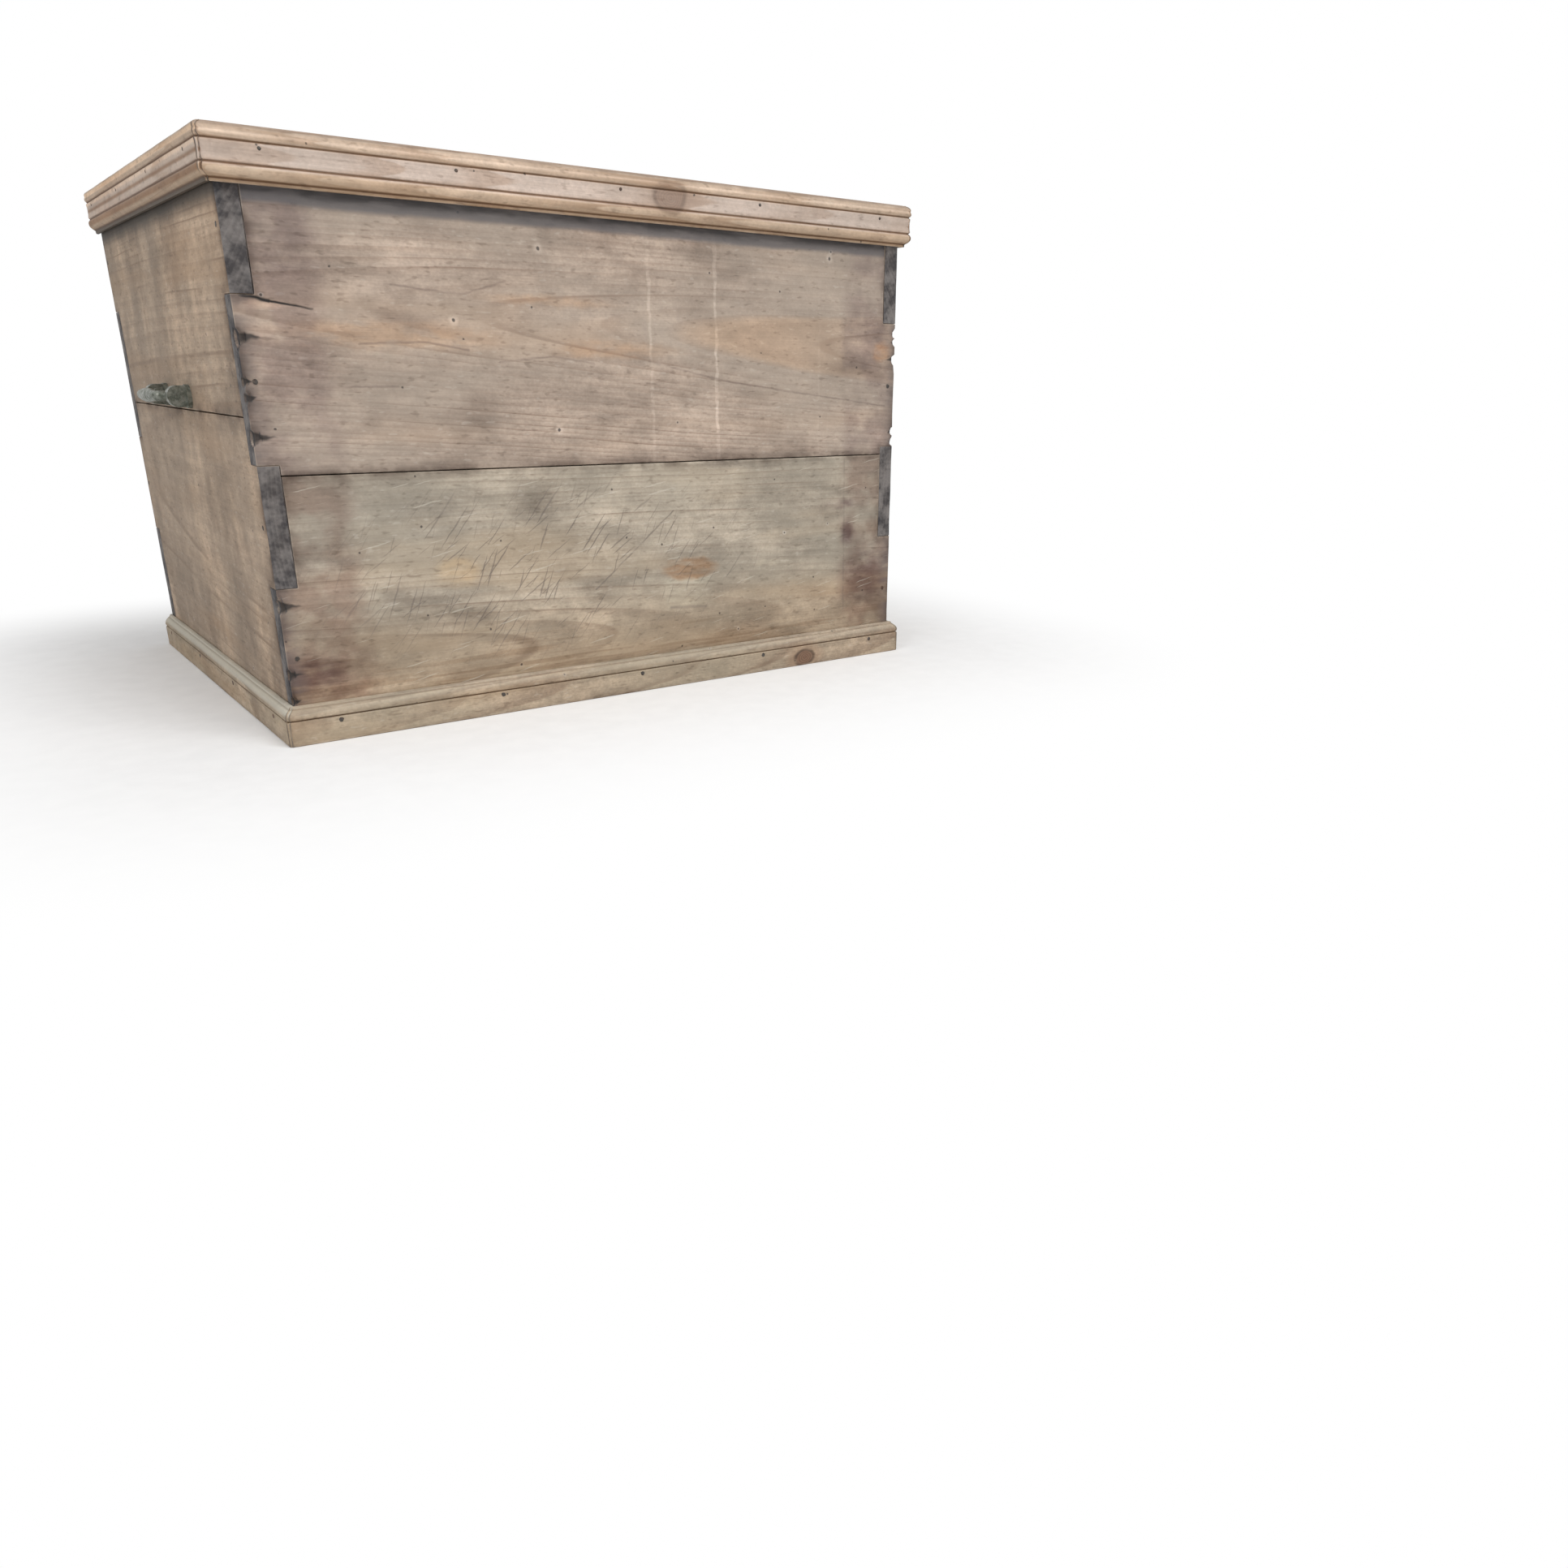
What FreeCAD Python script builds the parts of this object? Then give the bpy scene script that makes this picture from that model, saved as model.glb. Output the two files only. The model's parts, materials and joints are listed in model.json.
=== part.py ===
import FreeCAD, Part
import math
import os

from FreeCAD import Rotation, Vector

# A pine chest: four walls of two boards each, joined at the corners by coarse through fingers,
# a nailed bottom, a plinth, a hinged lid with a reeded moulding, and a swinging handle on each end.
# Millimetres, +Z up, +X to the right along the front, +Y to the back.
# The origin is on the floor at the middle of the body.

# Body
body_width = 720.0
body_depth = 544.0
total_height = 508.0
wall_thickness = 19.0
bottom_thickness = 16.0
bottom_board_count = 3
front_lower_board_width = 224.0
end_lower_board_width = 272.0
board_crack = 0.8

# Corner fingers, from the bottom of the wall upwards: front, end, front, end
lowest_front_finger = 127.0
lower_end_finger = 106.0
top_end_finger = 103.0

# Lid
lid_thickness = 20.0
lid_board_count = 3
lid_clearance = 1.5
moulding_height = 42.0
moulding_thickness = 10.0

# Depths of the lid moulding's members below its top, and how far its quirks are cut in
top_round_depth = 6.0
bead_depth = 11.4
band_top_depth = 13.0
band_bottom_depth = 27.4
torus_top_depth = 29.2
torus_nose_depth = 34.0
torus_bottom_depth = 40.0
quirk_cut = 1.8
band_hollow = 0.9
top_round_width = 4.5
torus_undercut = 5.0

# Plinth
plinth_height = 36.5
plinth_thickness = 10.5
plinth_groove_height = 24.0
plinth_groove_width = 1.6
plinth_groove_cut = 1.6
plinth_top_ledge = 2.5

# Square cut nails
nail_shank = 2.6
nail_head = 5.0
nail_head_height = 1.2
nail_sink = 0.5
nail_clearance = 0.05
nail_hole_reach = 10.0
nail_bite = 28.0
front_nail_count = 5
end_nail_count = 4
moulding_nail_drop = 16.0
plinth_nail_cover = 3.0

# Butt hinges
hinge_inset = 150.0
hinge_length = 65.0
leaf_width = 16.0
leaf_thickness = 2.5
leaf_fit = 0.1
knuckle_radius = 4.0
knuckle_count = 5
knuckle_gap = 0.3
knuckle_stand_off = 0.6
hinge_pin_radius = 2.0
running_clearance = 0.05
pin_head_radius = 3.0
pin_head_length = 1.5

# Hinge screws
screw_radius = 1.75
screw_head_radius = 3.4
screw_head_depth = 1.8
screw_length = 16.0
screw_count = 3
screw_clearance = 0.05

# Handles
handle_height = 301.0
eye_spacing = 104.0
eye_radius = 10.0
eye_width = 12.0
eye_reach = 11.0
collar_radius = 11.0
collar_thickness = 4.0
bolt_radius = 4.0
bolt_fit = 0.1
bolt_tail = 2.0
washer_radius = 10.0
washer_thickness = 1.6
nut_size = 14.0
nut_thickness = 6.0
grip_reach = 27.0
grip_radius = 7.0
grip_length = 56.0
bail_radius = 5.0
bail_bend_radius = 9.0
bail_side_gap = 0.4
pivot_radius = 3.5
pivot_end = 1.0

# Levels and faces worked out from the driving dimensions
wall_bottom = bottom_thickness
wall_top = total_height - lid_thickness
half_width = body_width / 2
half_depth = body_depth / 2
inner_half_width = half_width - wall_thickness
inner_half_depth = half_depth - wall_thickness
finger_levels = [
    wall_bottom,
    wall_bottom + lowest_front_finger,
    wall_bottom + lowest_front_finger + lower_end_finger,
    wall_top - top_end_finger,
    wall_top,
]
lid_half_width = half_width + lid_clearance
lid_front = -half_depth - lid_clearance
lid_back = half_depth
hinge_axis_y = half_depth + knuckle_stand_off + knuckle_radius
hinge_centres = [-half_width + hinge_inset, half_width - hinge_inset]
eye_offsets = [-eye_spacing / 2, eye_spacing / 2]

nodes = {}


def block(x_range, y_range, z_range):
    size = [high - low for low, high in (x_range, y_range, z_range)]
    corner = Vector(x_range[0], y_range[0], z_range[0])
    return Part.makeBox(size[0], size[1], size[2], corner)


def cylinder(radius, start, end):
    axis = end - start
    return Part.makeCylinder(radius, axis.Length, start, axis)


def polygon_prism(points, z_range):
    corners = [Vector(x, y, z_range[0]) for x, y in points]
    outline = Part.makePolygon(corners + corners[:1])
    return Part.Face(outline).extrude(Vector(0, 0, z_range[1] - z_range[0]))


def aimed(shape, point, direction):
    # Turns a shape drawn along +Z at the origin to point along a direction from a point.
    turned = shape.copy()
    turned.Placement = FreeCAD.Placement(point, Rotation(Vector(0, 0, 1), direction))
    return turned


def mirrored_left(shape):
    return shape.mirror(Vector(0, 0, 0), Vector(1, 0, 0))


def evenly(low, high, count):
    step = (high - low) / (count - 1)
    return [low + step * index for index in range(count)]


def strip_places(low, high, count):
    # Nail places along a strip, clear of the corner joints at its ends.
    margin = 2 * wall_thickness
    return evenly(low + margin, high - margin, count)


def midway(places):
    return [(first + second) / 2 for first, second in zip(places, places[1:])]


# Nails


def nail(point, direction, length):
    head = block((-nail_head / 2, nail_head / 2), (-nail_head / 2, nail_head / 2),
                 (nail_sink, nail_sink + nail_head_height))
    shank = block((-nail_shank / 2, nail_shank / 2), (-nail_shank / 2, nail_shank / 2),
                  (nail_sink, nail_sink + length))
    return aimed(head.fuse(shank).removeSplitter(), point, direction)


def nail_hole(point, direction, length):
    half_head = nail_head / 2 + nail_clearance
    half_shank = nail_shank / 2 + nail_clearance
    head = block((-half_head, half_head), (-half_head, half_head),
                 (-nail_hole_reach, nail_sink + nail_head_height))
    shank = block((-half_shank, half_shank), (-half_shank, half_shank),
                  (0, nail_sink + length + nail_clearance))
    return aimed(head.fuse(shank), point, direction)


def drive_nails(name, driven, boards):
    # Each nail is a point on the surface, a direction and a length; the boards get its hole.
    nodes[name] = Part.makeCompound([nail(*one) for one in driven])
    holes = Part.makeCompound([nail_hole(*one) for one in driven])
    for board in boards:
        nodes[board] = nodes[board].cut(holes)


# Walls


def split_boards(wall, joint_level):
    crack = board_crack / 2
    reach = body_width + body_depth
    lower = block((-reach, reach), (-reach, reach), (wall_bottom, joint_level - crack))
    upper = block((-reach, reach), (-reach, reach), (joint_level + crack, wall_top))
    return wall.common(lower), wall.common(upper)


def long_wall(y_range):
    # Front and back run to the corner at the first and third fingers.
    wall = block((-half_width, half_width), y_range, (wall_bottom, wall_top))
    for low, high in ((finger_levels[1], finger_levels[2]), (finger_levels[3], finger_levels[4])):
        wall = wall.cut(block((-half_width, -inner_half_width), y_range, (low, high)))
        wall = wall.cut(block((inner_half_width, half_width), y_range, (low, high)))
    return wall


def end_wall(x_range):
    # The ends run to the corner at the second and fourth fingers.
    wall = block(x_range, (-half_depth, half_depth), (wall_bottom, wall_top))
    for low, high in ((finger_levels[0], finger_levels[1]), (finger_levels[2], finger_levels[3])):
        wall = wall.cut(block(x_range, (-half_depth, -inner_half_depth), (low, high)))
        wall = wall.cut(block(x_range, (inner_half_depth, half_depth), (low, high)))
    return wall


def make_walls():
    front_joint = wall_bottom + front_lower_board_width
    end_joint = wall_bottom + end_lower_board_width
    for name, y_range in (("front", (-half_depth, -inner_half_depth)),
                          ("back", (inner_half_depth, half_depth))):
        lower, upper = split_boards(long_wall(y_range), front_joint)
        nodes[name + "_lower_board"] = lower
        nodes[name + "_upper_board"] = upper
    for name, x_range in (("left_end", (-half_width, -inner_half_width)),
                          ("right_end", (inner_half_width, half_width))):
        lower, upper = split_boards(end_wall(x_range), end_joint)
        nodes[name + "_lower_board"] = lower
        nodes[name + "_upper_board"] = upper


def board_strips(y_range, count):
    # Boards side by side across a depth, with a shrinkage crack between neighbours.
    width = (y_range[1] - y_range[0]) / count
    strips = []
    for index in range(count):
        low = y_range[0] + width * index
        high = low + width
        if index > 0:
            low += board_crack / 2
        if index < count - 1:
            high -= board_crack / 2
        strips.append((low, high))
    return strips


def make_bottom():
    for index, strip in enumerate(board_strips((-half_depth, half_depth), bottom_board_count)):
        board = block((-half_width, half_width), strip, (0, bottom_thickness))
        nodes["bottom_board_%d" % (index + 1)] = board


# Mouldings


def profile_face(outline):
    # Closes an open outline of (distance out, height) points; three points in a row are an arc.
    edges = []
    for stretch in outline:
        points = [Vector(out, 0, height) for out, height in stretch]
        if len(points) == 2:
            edges.append(Part.makeLine(points[0], points[1]))
        else:
            edges.append(Part.Arc(points[0], points[1], points[2]).toShape())
    return Part.Face(Part.Wire(edges))


def lid_moulding_profile():
    out = moulding_thickness
    quirk = out - quirk_cut
    top = total_height
    bottom = total_height - moulding_height
    round_low = top - top_round_depth
    bead_low = top - bead_depth
    bead_middle = (round_low + bead_low) / 2
    band_high = top - band_top_depth
    band_low = top - band_bottom_depth
    band_middle = (band_high + band_low) / 2
    torus_high = top - torus_top_depth
    torus_low = top - torus_bottom_depth
    torus_nose = top - torus_nose_depth
    turn = 1 - math.sqrt(0.5)
    round_corner = (out - top_round_width * turn, top - top_round_depth * turn)
    return profile_face([
        [(0, bottom), (0, top)],
        [(0, top), (out - top_round_width, top)],
        [(out - top_round_width, top), round_corner, (out - band_hollow / 2, round_low)],
        [(out - band_hollow / 2, round_low), (quirk + band_hollow, round_low)],
        [(quirk + band_hollow, round_low), (out, bead_middle), (quirk + band_hollow, bead_low)],
        [(quirk + band_hollow, bead_low), (quirk, (bead_low + band_high) / 2)],
        [(quirk, (bead_low + band_high) / 2), (out - band_hollow / 2, band_high)],
        [(out - band_hollow / 2, band_high), (out - band_hollow, band_middle),
         (out - band_hollow / 2, band_low)],
        [(out - band_hollow / 2, band_low), (quirk, (band_low + torus_high) / 2)],
        [(quirk, (band_low + torus_high) / 2), (quirk + band_hollow, torus_high)],
        [(quirk + band_hollow, torus_high), (out, torus_nose), (out - torus_undercut, torus_low)],
        [(out - torus_undercut, torus_low), (out - torus_undercut, bottom)],
        [(out - torus_undercut, bottom), (0, bottom)],
    ])


def plinth_profile():
    out = plinth_thickness
    groove_low = plinth_groove_height - plinth_groove_width / 2
    groove_high = plinth_groove_height + plinth_groove_width / 2
    turn = math.sqrt(0.5)
    round_middle = (plinth_top_ledge + (out - plinth_top_ledge) * turn,
                    groove_high + (plinth_height - groove_high) * turn)
    return profile_face([
        [(0, 0), (out, 0)],
        [(out, 0), (out, groove_low)],
        [(out, groove_low), (out - plinth_groove_cut, plinth_groove_height)],
        [(out - plinth_groove_cut, plinth_groove_height), (out, groove_high)],
        [(out, groove_high), round_middle, (plinth_top_ledge, plinth_height)],
        [(plinth_top_ledge, plinth_height), (0, plinth_height)],
        [(0, plinth_height), (0, 0)],
    ])


def mitred_strips(profile, thickness, inner_half, inner_front, back, z_range):
    # A front strip and two end strips of one profile, mitred where they meet.
    length = 2 * (inner_half + thickness)
    along_y = Rotation(Vector(0, 0, 1), -90)
    front = profile.copy()
    front.Placement = FreeCAD.Placement(Vector(-length / 2, inner_front, 0), along_y)
    front = front.extrude(Vector(length, 0, 0))
    right = profile.copy()
    right.Placement = FreeCAD.Placement(Vector(inner_half, inner_front - thickness, 0), Rotation())
    right = right.extrude(Vector(0, back - inner_front + thickness, 0))
    outer_half = inner_half + thickness
    outer_front = inner_front - thickness
    front_plan = [(-inner_half, inner_front), (inner_half, inner_front),
                  (outer_half, outer_front), (-outer_half, outer_front)]
    right_plan = [(inner_half, inner_front), (outer_half, outer_front),
                  (outer_half, back), (inner_half, back)]
    front = front.common(polygon_prism(front_plan, z_range))
    right = right.common(polygon_prism(right_plan, z_range))
    return {"front": front, "right": right, "left": mirrored_left(right)}


def make_plinth():
    strips = mitred_strips(plinth_profile(), plinth_thickness, half_width, -half_depth,
                           half_depth, (0, plinth_height))
    for side, strip in strips.items():
        nodes["plinth_" + side] = strip


def make_lid():
    for index, strip in enumerate(board_strips((lid_front, lid_back), lid_board_count)):
        board = block((-lid_half_width, lid_half_width), strip, (wall_top, total_height))
        nodes["lid_board_%d" % (index + 1)] = board
    strips = mitred_strips(lid_moulding_profile(), moulding_thickness, lid_half_width, lid_front,
                           lid_back, (total_height - moulding_height, total_height))
    for side, strip in strips.items():
        nodes["lid_moulding_" + side] = strip


# Where the nails go


def nail_corners():
    driven = []
    edge = wall_thickness / 2
    length = wall_thickness + nail_bite
    front_fingers = [sum(finger_levels[0:2]) / 2, sum(finger_levels[2:4]) / 2]
    end_fingers = [sum(finger_levels[1:3]) / 2, sum(finger_levels[3:5]) / 2]
    for side in (-1, 1):
        for face in (-1, 1):
            for level in front_fingers:
                point = Vector(side * (half_width - edge), face * half_depth, level)
                driven.append((point, Vector(0, -face, 0), length))
            for level in end_fingers:
                point = Vector(side * half_width, face * (half_depth - edge), level)
                driven.append((point, Vector(-side, 0, 0), length))
    boards = [wall + half for wall in ("front", "back", "left_end", "right_end")
              for half in ("_lower_board", "_upper_board")]
    drive_nails("corner_nails", driven, boards)


def nail_bottom():
    # Up through the bottom into the walls, midway between the plinth's nails.
    driven = []
    edge = wall_thickness / 2
    length = bottom_thickness + nail_bite
    up = Vector(0, 0, 1)
    for face in (-1, 1):
        for x in midway(strip_places(-half_width, half_width, front_nail_count)):
            driven.append((Vector(x, face * (half_depth - edge), 0), up, length))
        for y in midway(strip_places(-half_depth, half_depth, end_nail_count)):
            driven.append((Vector(face * (half_width - edge), y, 0), up, length))
    boards = ["bottom_board_%d" % (index + 1) for index in range(bottom_board_count)]
    boards += [wall + "_lower_board" for wall in ("front", "back", "left_end", "right_end")]
    drive_nails("bottom_nails", driven, boards)


def strip_nails(half, front, back, out, level, length):
    # Nails along a front strip and both end strips, driven square to their faces.
    driven = []
    for x in strip_places(-half, half, front_nail_count):
        driven.append((Vector(x, front - out, level), Vector(0, 1, 0), length))
    for y in strip_places(front, back, end_nail_count):
        for side in (-1, 1):
            driven.append((Vector(side * (half + out), y, level), Vector(-side, 0, 0), length))
    return driven


def nail_plinth():
    level = (bottom_thickness + plinth_groove_height) / 2
    length = plinth_thickness + wall_thickness - plinth_nail_cover - nail_sink
    driven = strip_nails(half_width, -half_depth, half_depth, plinth_thickness, level, length)
    boards = ["plinth_front", "plinth_left", "plinth_right"]
    boards += [wall + "_lower_board" for wall in ("front", "left_end", "right_end")]
    drive_nails("plinth_nails", driven, boards)


def nail_moulding():
    level = total_height - moulding_nail_drop
    out = moulding_thickness - band_hollow
    length = moulding_thickness + nail_bite
    driven = strip_nails(lid_half_width, lid_front, lid_back, out, level, length)
    boards = ["lid_moulding_front", "lid_moulding_left", "lid_moulding_right"]
    boards += ["lid_board_%d" % (index + 1) for index in range(lid_board_count)]
    drive_nails("lid_moulding_nails", driven, boards)


# Hinges


def screw(point, direction, clearance):
    reach = screw_radius + clearance
    head_depth = screw_head_depth + clearance
    head = Part.makeCone(screw_head_radius + clearance, reach, head_depth)
    shank = Part.makeCylinder(reach, screw_length + clearance)
    return aimed(head.fuse(shank), point, direction)


def knuckle_spans(centre):
    # The barrel's knuckles in turn: even ones belong to the back's leaf, odd ones to the lid's.
    pitch = hinge_length / knuckle_count
    start = centre - hinge_length / 2
    gap = knuckle_gap / 2
    return [(start + pitch * index + gap, start + pitch * (index + 1) - gap)
            for index in range(knuckle_count)]


def hinge_leaf(centre, z_range, own):
    plate = block((centre - hinge_length / 2, centre + hinge_length / 2),
                  (half_depth - leaf_width, half_depth), z_range)
    leaf = plate
    for index, (low, high) in enumerate(knuckle_spans(centre)):
        if index % 2 == own:
            tongue = block((low, high), (half_depth, hinge_axis_y), z_range)
            barrel = cylinder(knuckle_radius, Vector(low, hinge_axis_y, wall_top),
                              Vector(high, hinge_axis_y, wall_top))
            leaf = leaf.fuse(tongue).fuse(barrel)
    bore = cylinder(hinge_pin_radius + running_clearance,
                    Vector(centre - hinge_length, hinge_axis_y, wall_top),
                    Vector(centre + hinge_length, hinge_axis_y, wall_top))
    return leaf.cut(bore).removeSplitter()


def hinge_pin(centre):
    end = hinge_length / 2
    left = Vector(centre - end, hinge_axis_y, wall_top)
    right = Vector(centre + end, hinge_axis_y, wall_top)
    pin = cylinder(hinge_pin_radius, left, right)
    head = Vector(pin_head_length, 0, 0)
    for start, stop in ((left - head, left), (right, right + head)):
        pin = pin.fuse(cylinder(pin_head_radius, start, stop))
    return pin


def hinge_screw_places(centre):
    margin = hinge_length / (2 * screw_count)
    return [Vector(x, half_depth - leaf_width / 2, wall_top)
            for x in evenly(centre - hinge_length / 2 + margin, centre + hinge_length / 2 - margin,
                            screw_count)]


def let_in(board, centre, z_range):
    # The recess that a leaf lies in, open towards the back.
    half = hinge_length / 2 + leaf_fit
    recess = block((centre - half, centre + half),
                   (half_depth - leaf_width - leaf_fit, half_depth + leaf_width), z_range)
    nodes[board] = nodes[board].cut(recess)


def make_hinges():
    lid_back_board = "lid_board_%d" % lid_board_count
    halves = (
        ("back", "back_upper_board", (wall_top - leaf_thickness, wall_top), Vector(0, 0, -1), 0),
        ("lid", lid_back_board, (wall_top, wall_top + leaf_thickness), Vector(0, 0, 1), 1),
    )
    for half, board, z_range, direction, own in halves:
        screws = []
        for side, centre in zip(("left", "right"), hinge_centres):
            leaf = hinge_leaf(centre, z_range, own)
            let_in(board, centre, z_range)
            for place in hinge_screw_places(centre):
                screws.append(screw(place, direction, 0))
                hole = screw(place, direction, screw_clearance)
                leaf = leaf.cut(hole)
                nodes[board] = nodes[board].cut(hole)
            nodes["%s_hinge_%s_leaf" % (side, half)] = leaf
        nodes["hinge_screws_" + half] = Part.makeCompound(screws)
    for side, centre in zip(("left", "right"), hinge_centres):
        nodes[side + "_hinge_pin"] = hinge_pin(centre)


# Handles, drawn on the right end and mirrored for the left


def eye_bolt(y):
    face = Vector(half_width, y, handle_height)
    pivot = face + Vector(eye_reach, 0, 0)
    half_eye = Vector(0, eye_width / 2, 0)
    tail = wall_thickness + washer_thickness + nut_thickness + bolt_tail
    collar = cylinder(collar_radius, face, face + Vector(collar_thickness, 0, 0))
    neck = block((half_width, half_width + eye_reach), (y - eye_width / 2, y + eye_width / 2),
                 (handle_height - eye_radius, handle_height + eye_radius))
    eye = cylinder(eye_radius, pivot - half_eye, pivot + half_eye)
    shank = cylinder(bolt_radius, face - Vector(tail, 0, 0), face)
    bolt = collar.fuse(neck).fuse(eye).fuse(shank)
    bore = cylinder(pivot_radius + running_clearance, pivot - half_eye * 2, pivot + half_eye * 2)
    return bolt.cut(bore).removeSplitter()


def washer_and_nut(y):
    inner_face = Vector(inner_half_width, y, handle_height)
    washer_face = inner_face - Vector(washer_thickness, 0, 0)
    washer = cylinder(washer_radius, washer_face, inner_face)
    nut = block((washer_face.x - nut_thickness, washer_face.x), (y - nut_size / 2, y + nut_size / 2),
                (handle_height - nut_size / 2, handle_height + nut_size / 2))
    bore = cylinder(bolt_radius + bolt_fit, inner_face - Vector(wall_thickness, 0, 0), inner_face)
    return washer.cut(bore), nut.cut(bore)


def bolt_hole(y):
    return cylinder(bolt_radius + bolt_fit, Vector(inner_half_width, y, handle_height),
                    Vector(half_width, y, handle_height))


def bail():
    pivot_x = half_width + eye_reach
    grip_x = half_width + grip_reach
    arm_y = eye_spacing / 2 - eye_width / 2 - bail_side_gap - bail_radius
    bend = bail_bend_radius
    turn = bend * (1 - math.sqrt(0.5))

    def at(x, y):
        return Vector(x, y, handle_height)

    path = Part.Wire([
        Part.makeLine(at(pivot_x, -arm_y), at(grip_x - bend, -arm_y)),
        Part.Arc(at(grip_x - bend, -arm_y), at(grip_x - turn, -arm_y + turn),
                 at(grip_x, -arm_y + bend)).toShape(),
        Part.makeLine(at(grip_x, -arm_y + bend), at(grip_x, arm_y - bend)),
        Part.Arc(at(grip_x, arm_y - bend), at(grip_x - turn, arm_y - turn),
                 at(grip_x - bend, arm_y)).toShape(),
        Part.makeLine(at(grip_x - bend, arm_y), at(pivot_x, arm_y)),
    ])
    section = Part.Wire(Part.makeCircle(bail_radius, at(pivot_x, -arm_y), Vector(1, 0, 0)))
    shape = path.makePipeShell([section], True, False)
    half_grip = grip_length / 2
    swell = Part.Wire([
        Part.makeLine(at(grip_x, -half_grip), at(grip_x + bail_radius, -half_grip)),
        Part.Arc(at(grip_x + bail_radius, -half_grip), at(grip_x + grip_radius, 0),
                 at(grip_x + bail_radius, half_grip)).toShape(),
        Part.makeLine(at(grip_x + bail_radius, half_grip), at(grip_x, half_grip)),
        Part.makeLine(at(grip_x, half_grip), at(grip_x, -half_grip)),
    ])
    shape = shape.fuse(Part.Face(swell).revolve(at(grip_x, 0), Vector(0, 1, 0), 360))
    for side in (-1, 1):
        inside = at(pivot_x, side * (arm_y - bail_radius))
        shoulder = at(pivot_x, side * (arm_y + bail_radius))
        pivot_tip = at(pivot_x, side * (eye_spacing / 2 + eye_width / 2 + pivot_end))
        shape = shape.fuse(cylinder(bail_radius + pivot_end, inside, shoulder))
        shape = shape.fuse(cylinder(pivot_radius, inside, pivot_tip))
    return shape


def make_handles():
    bolts = [eye_bolt(y) for y in eye_offsets]
    fittings = [washer_and_nut(y) for y in eye_offsets]
    holes = Part.makeCompound([bolt_hole(y) for y in eye_offsets])
    right = {
        "handle_front_eye": bolts[0],
        "handle_back_eye": bolts[1],
        "handle_washers": Part.makeCompound([washer for washer, nut in fittings]),
        "handle_nuts": Part.makeCompound([nut for washer, nut in fittings]),
        "handle_bail": bail(),
    }
    for name, shape in right.items():
        nodes["right_" + name] = shape
        nodes["left_" + name] = mirrored_left(shape)
    for end, end_holes in (("right_end", holes), ("left_end", mirrored_left(holes))):
        for half in ("_lower_board", "_upper_board"):
            nodes[end + half] = nodes[end + half].cut(end_holes)


make_walls()
make_bottom()
make_plinth()
make_lid()
nail_corners()
nail_bottom()
nail_plinth()
nail_moulding()
make_hinges()
make_handles()

os.makedirs("parts", exist_ok=True)
for node_name, node_shape in nodes.items():
    node_shape.exportStep("parts/%s.step" % node_name)
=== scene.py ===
import json
import math

import bmesh
import bpy
import numpy as np
from mathutils import Matrix, Vector, noise
from mathutils.bvhtree import BVHTree
from mathutils.kdtree import KDTree

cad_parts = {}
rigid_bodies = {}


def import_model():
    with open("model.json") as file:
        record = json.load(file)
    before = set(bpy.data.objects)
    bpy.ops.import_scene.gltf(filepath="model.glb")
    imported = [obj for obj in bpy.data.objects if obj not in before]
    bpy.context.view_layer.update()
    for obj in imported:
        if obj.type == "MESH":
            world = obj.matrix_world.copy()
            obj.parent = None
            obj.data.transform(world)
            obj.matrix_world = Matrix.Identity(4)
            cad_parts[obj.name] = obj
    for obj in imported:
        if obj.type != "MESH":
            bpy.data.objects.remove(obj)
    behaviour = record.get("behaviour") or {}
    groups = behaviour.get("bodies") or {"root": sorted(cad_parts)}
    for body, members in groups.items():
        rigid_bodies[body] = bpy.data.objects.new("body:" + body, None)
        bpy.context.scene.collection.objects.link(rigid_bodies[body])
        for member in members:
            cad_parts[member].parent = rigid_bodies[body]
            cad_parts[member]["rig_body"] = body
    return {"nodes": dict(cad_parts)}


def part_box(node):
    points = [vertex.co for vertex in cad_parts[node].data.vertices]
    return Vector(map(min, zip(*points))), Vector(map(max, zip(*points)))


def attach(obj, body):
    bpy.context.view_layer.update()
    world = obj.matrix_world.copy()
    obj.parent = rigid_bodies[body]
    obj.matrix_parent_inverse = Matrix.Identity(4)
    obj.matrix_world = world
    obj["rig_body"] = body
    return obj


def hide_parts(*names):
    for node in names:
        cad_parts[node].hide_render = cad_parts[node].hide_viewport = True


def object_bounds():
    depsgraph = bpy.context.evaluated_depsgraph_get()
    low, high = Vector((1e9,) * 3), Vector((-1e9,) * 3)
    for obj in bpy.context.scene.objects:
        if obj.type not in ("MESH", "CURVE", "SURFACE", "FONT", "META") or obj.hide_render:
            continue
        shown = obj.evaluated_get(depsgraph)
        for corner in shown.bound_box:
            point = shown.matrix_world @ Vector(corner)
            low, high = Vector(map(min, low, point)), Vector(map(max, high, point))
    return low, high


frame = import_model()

cad_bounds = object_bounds()

# Camera, as fitted to the photograph: metres and degrees
IMAGE_SIDE = 1932
FOCAL_PIXELS = 1461
SENSOR_WIDTH = 36.0
CAMERA_PLACE = Vector((-0.624, -1.417, 0.330))
CAMERA_YAW = math.radians(38.24)
CAMERA_PITCH = math.radians(21.09)
CAMERA_ROLL = math.radians(0.81)
CAMERA_SHIFT = (-0.0316, 0.03)

# Axes of the frame
ALONG_X, ALONG_Y, ALONG_Z = range(3)

# Stage: the room's light beside its white, the floor's reach, where it turns white, and the lamps' aim
ROOM_LIGHT = 0.5
FLOOR_REACH = 8.0
FLOOR_FADE = 0.38
LAMP_AIM = Vector((0.0, 0.0, 0.25))

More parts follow.
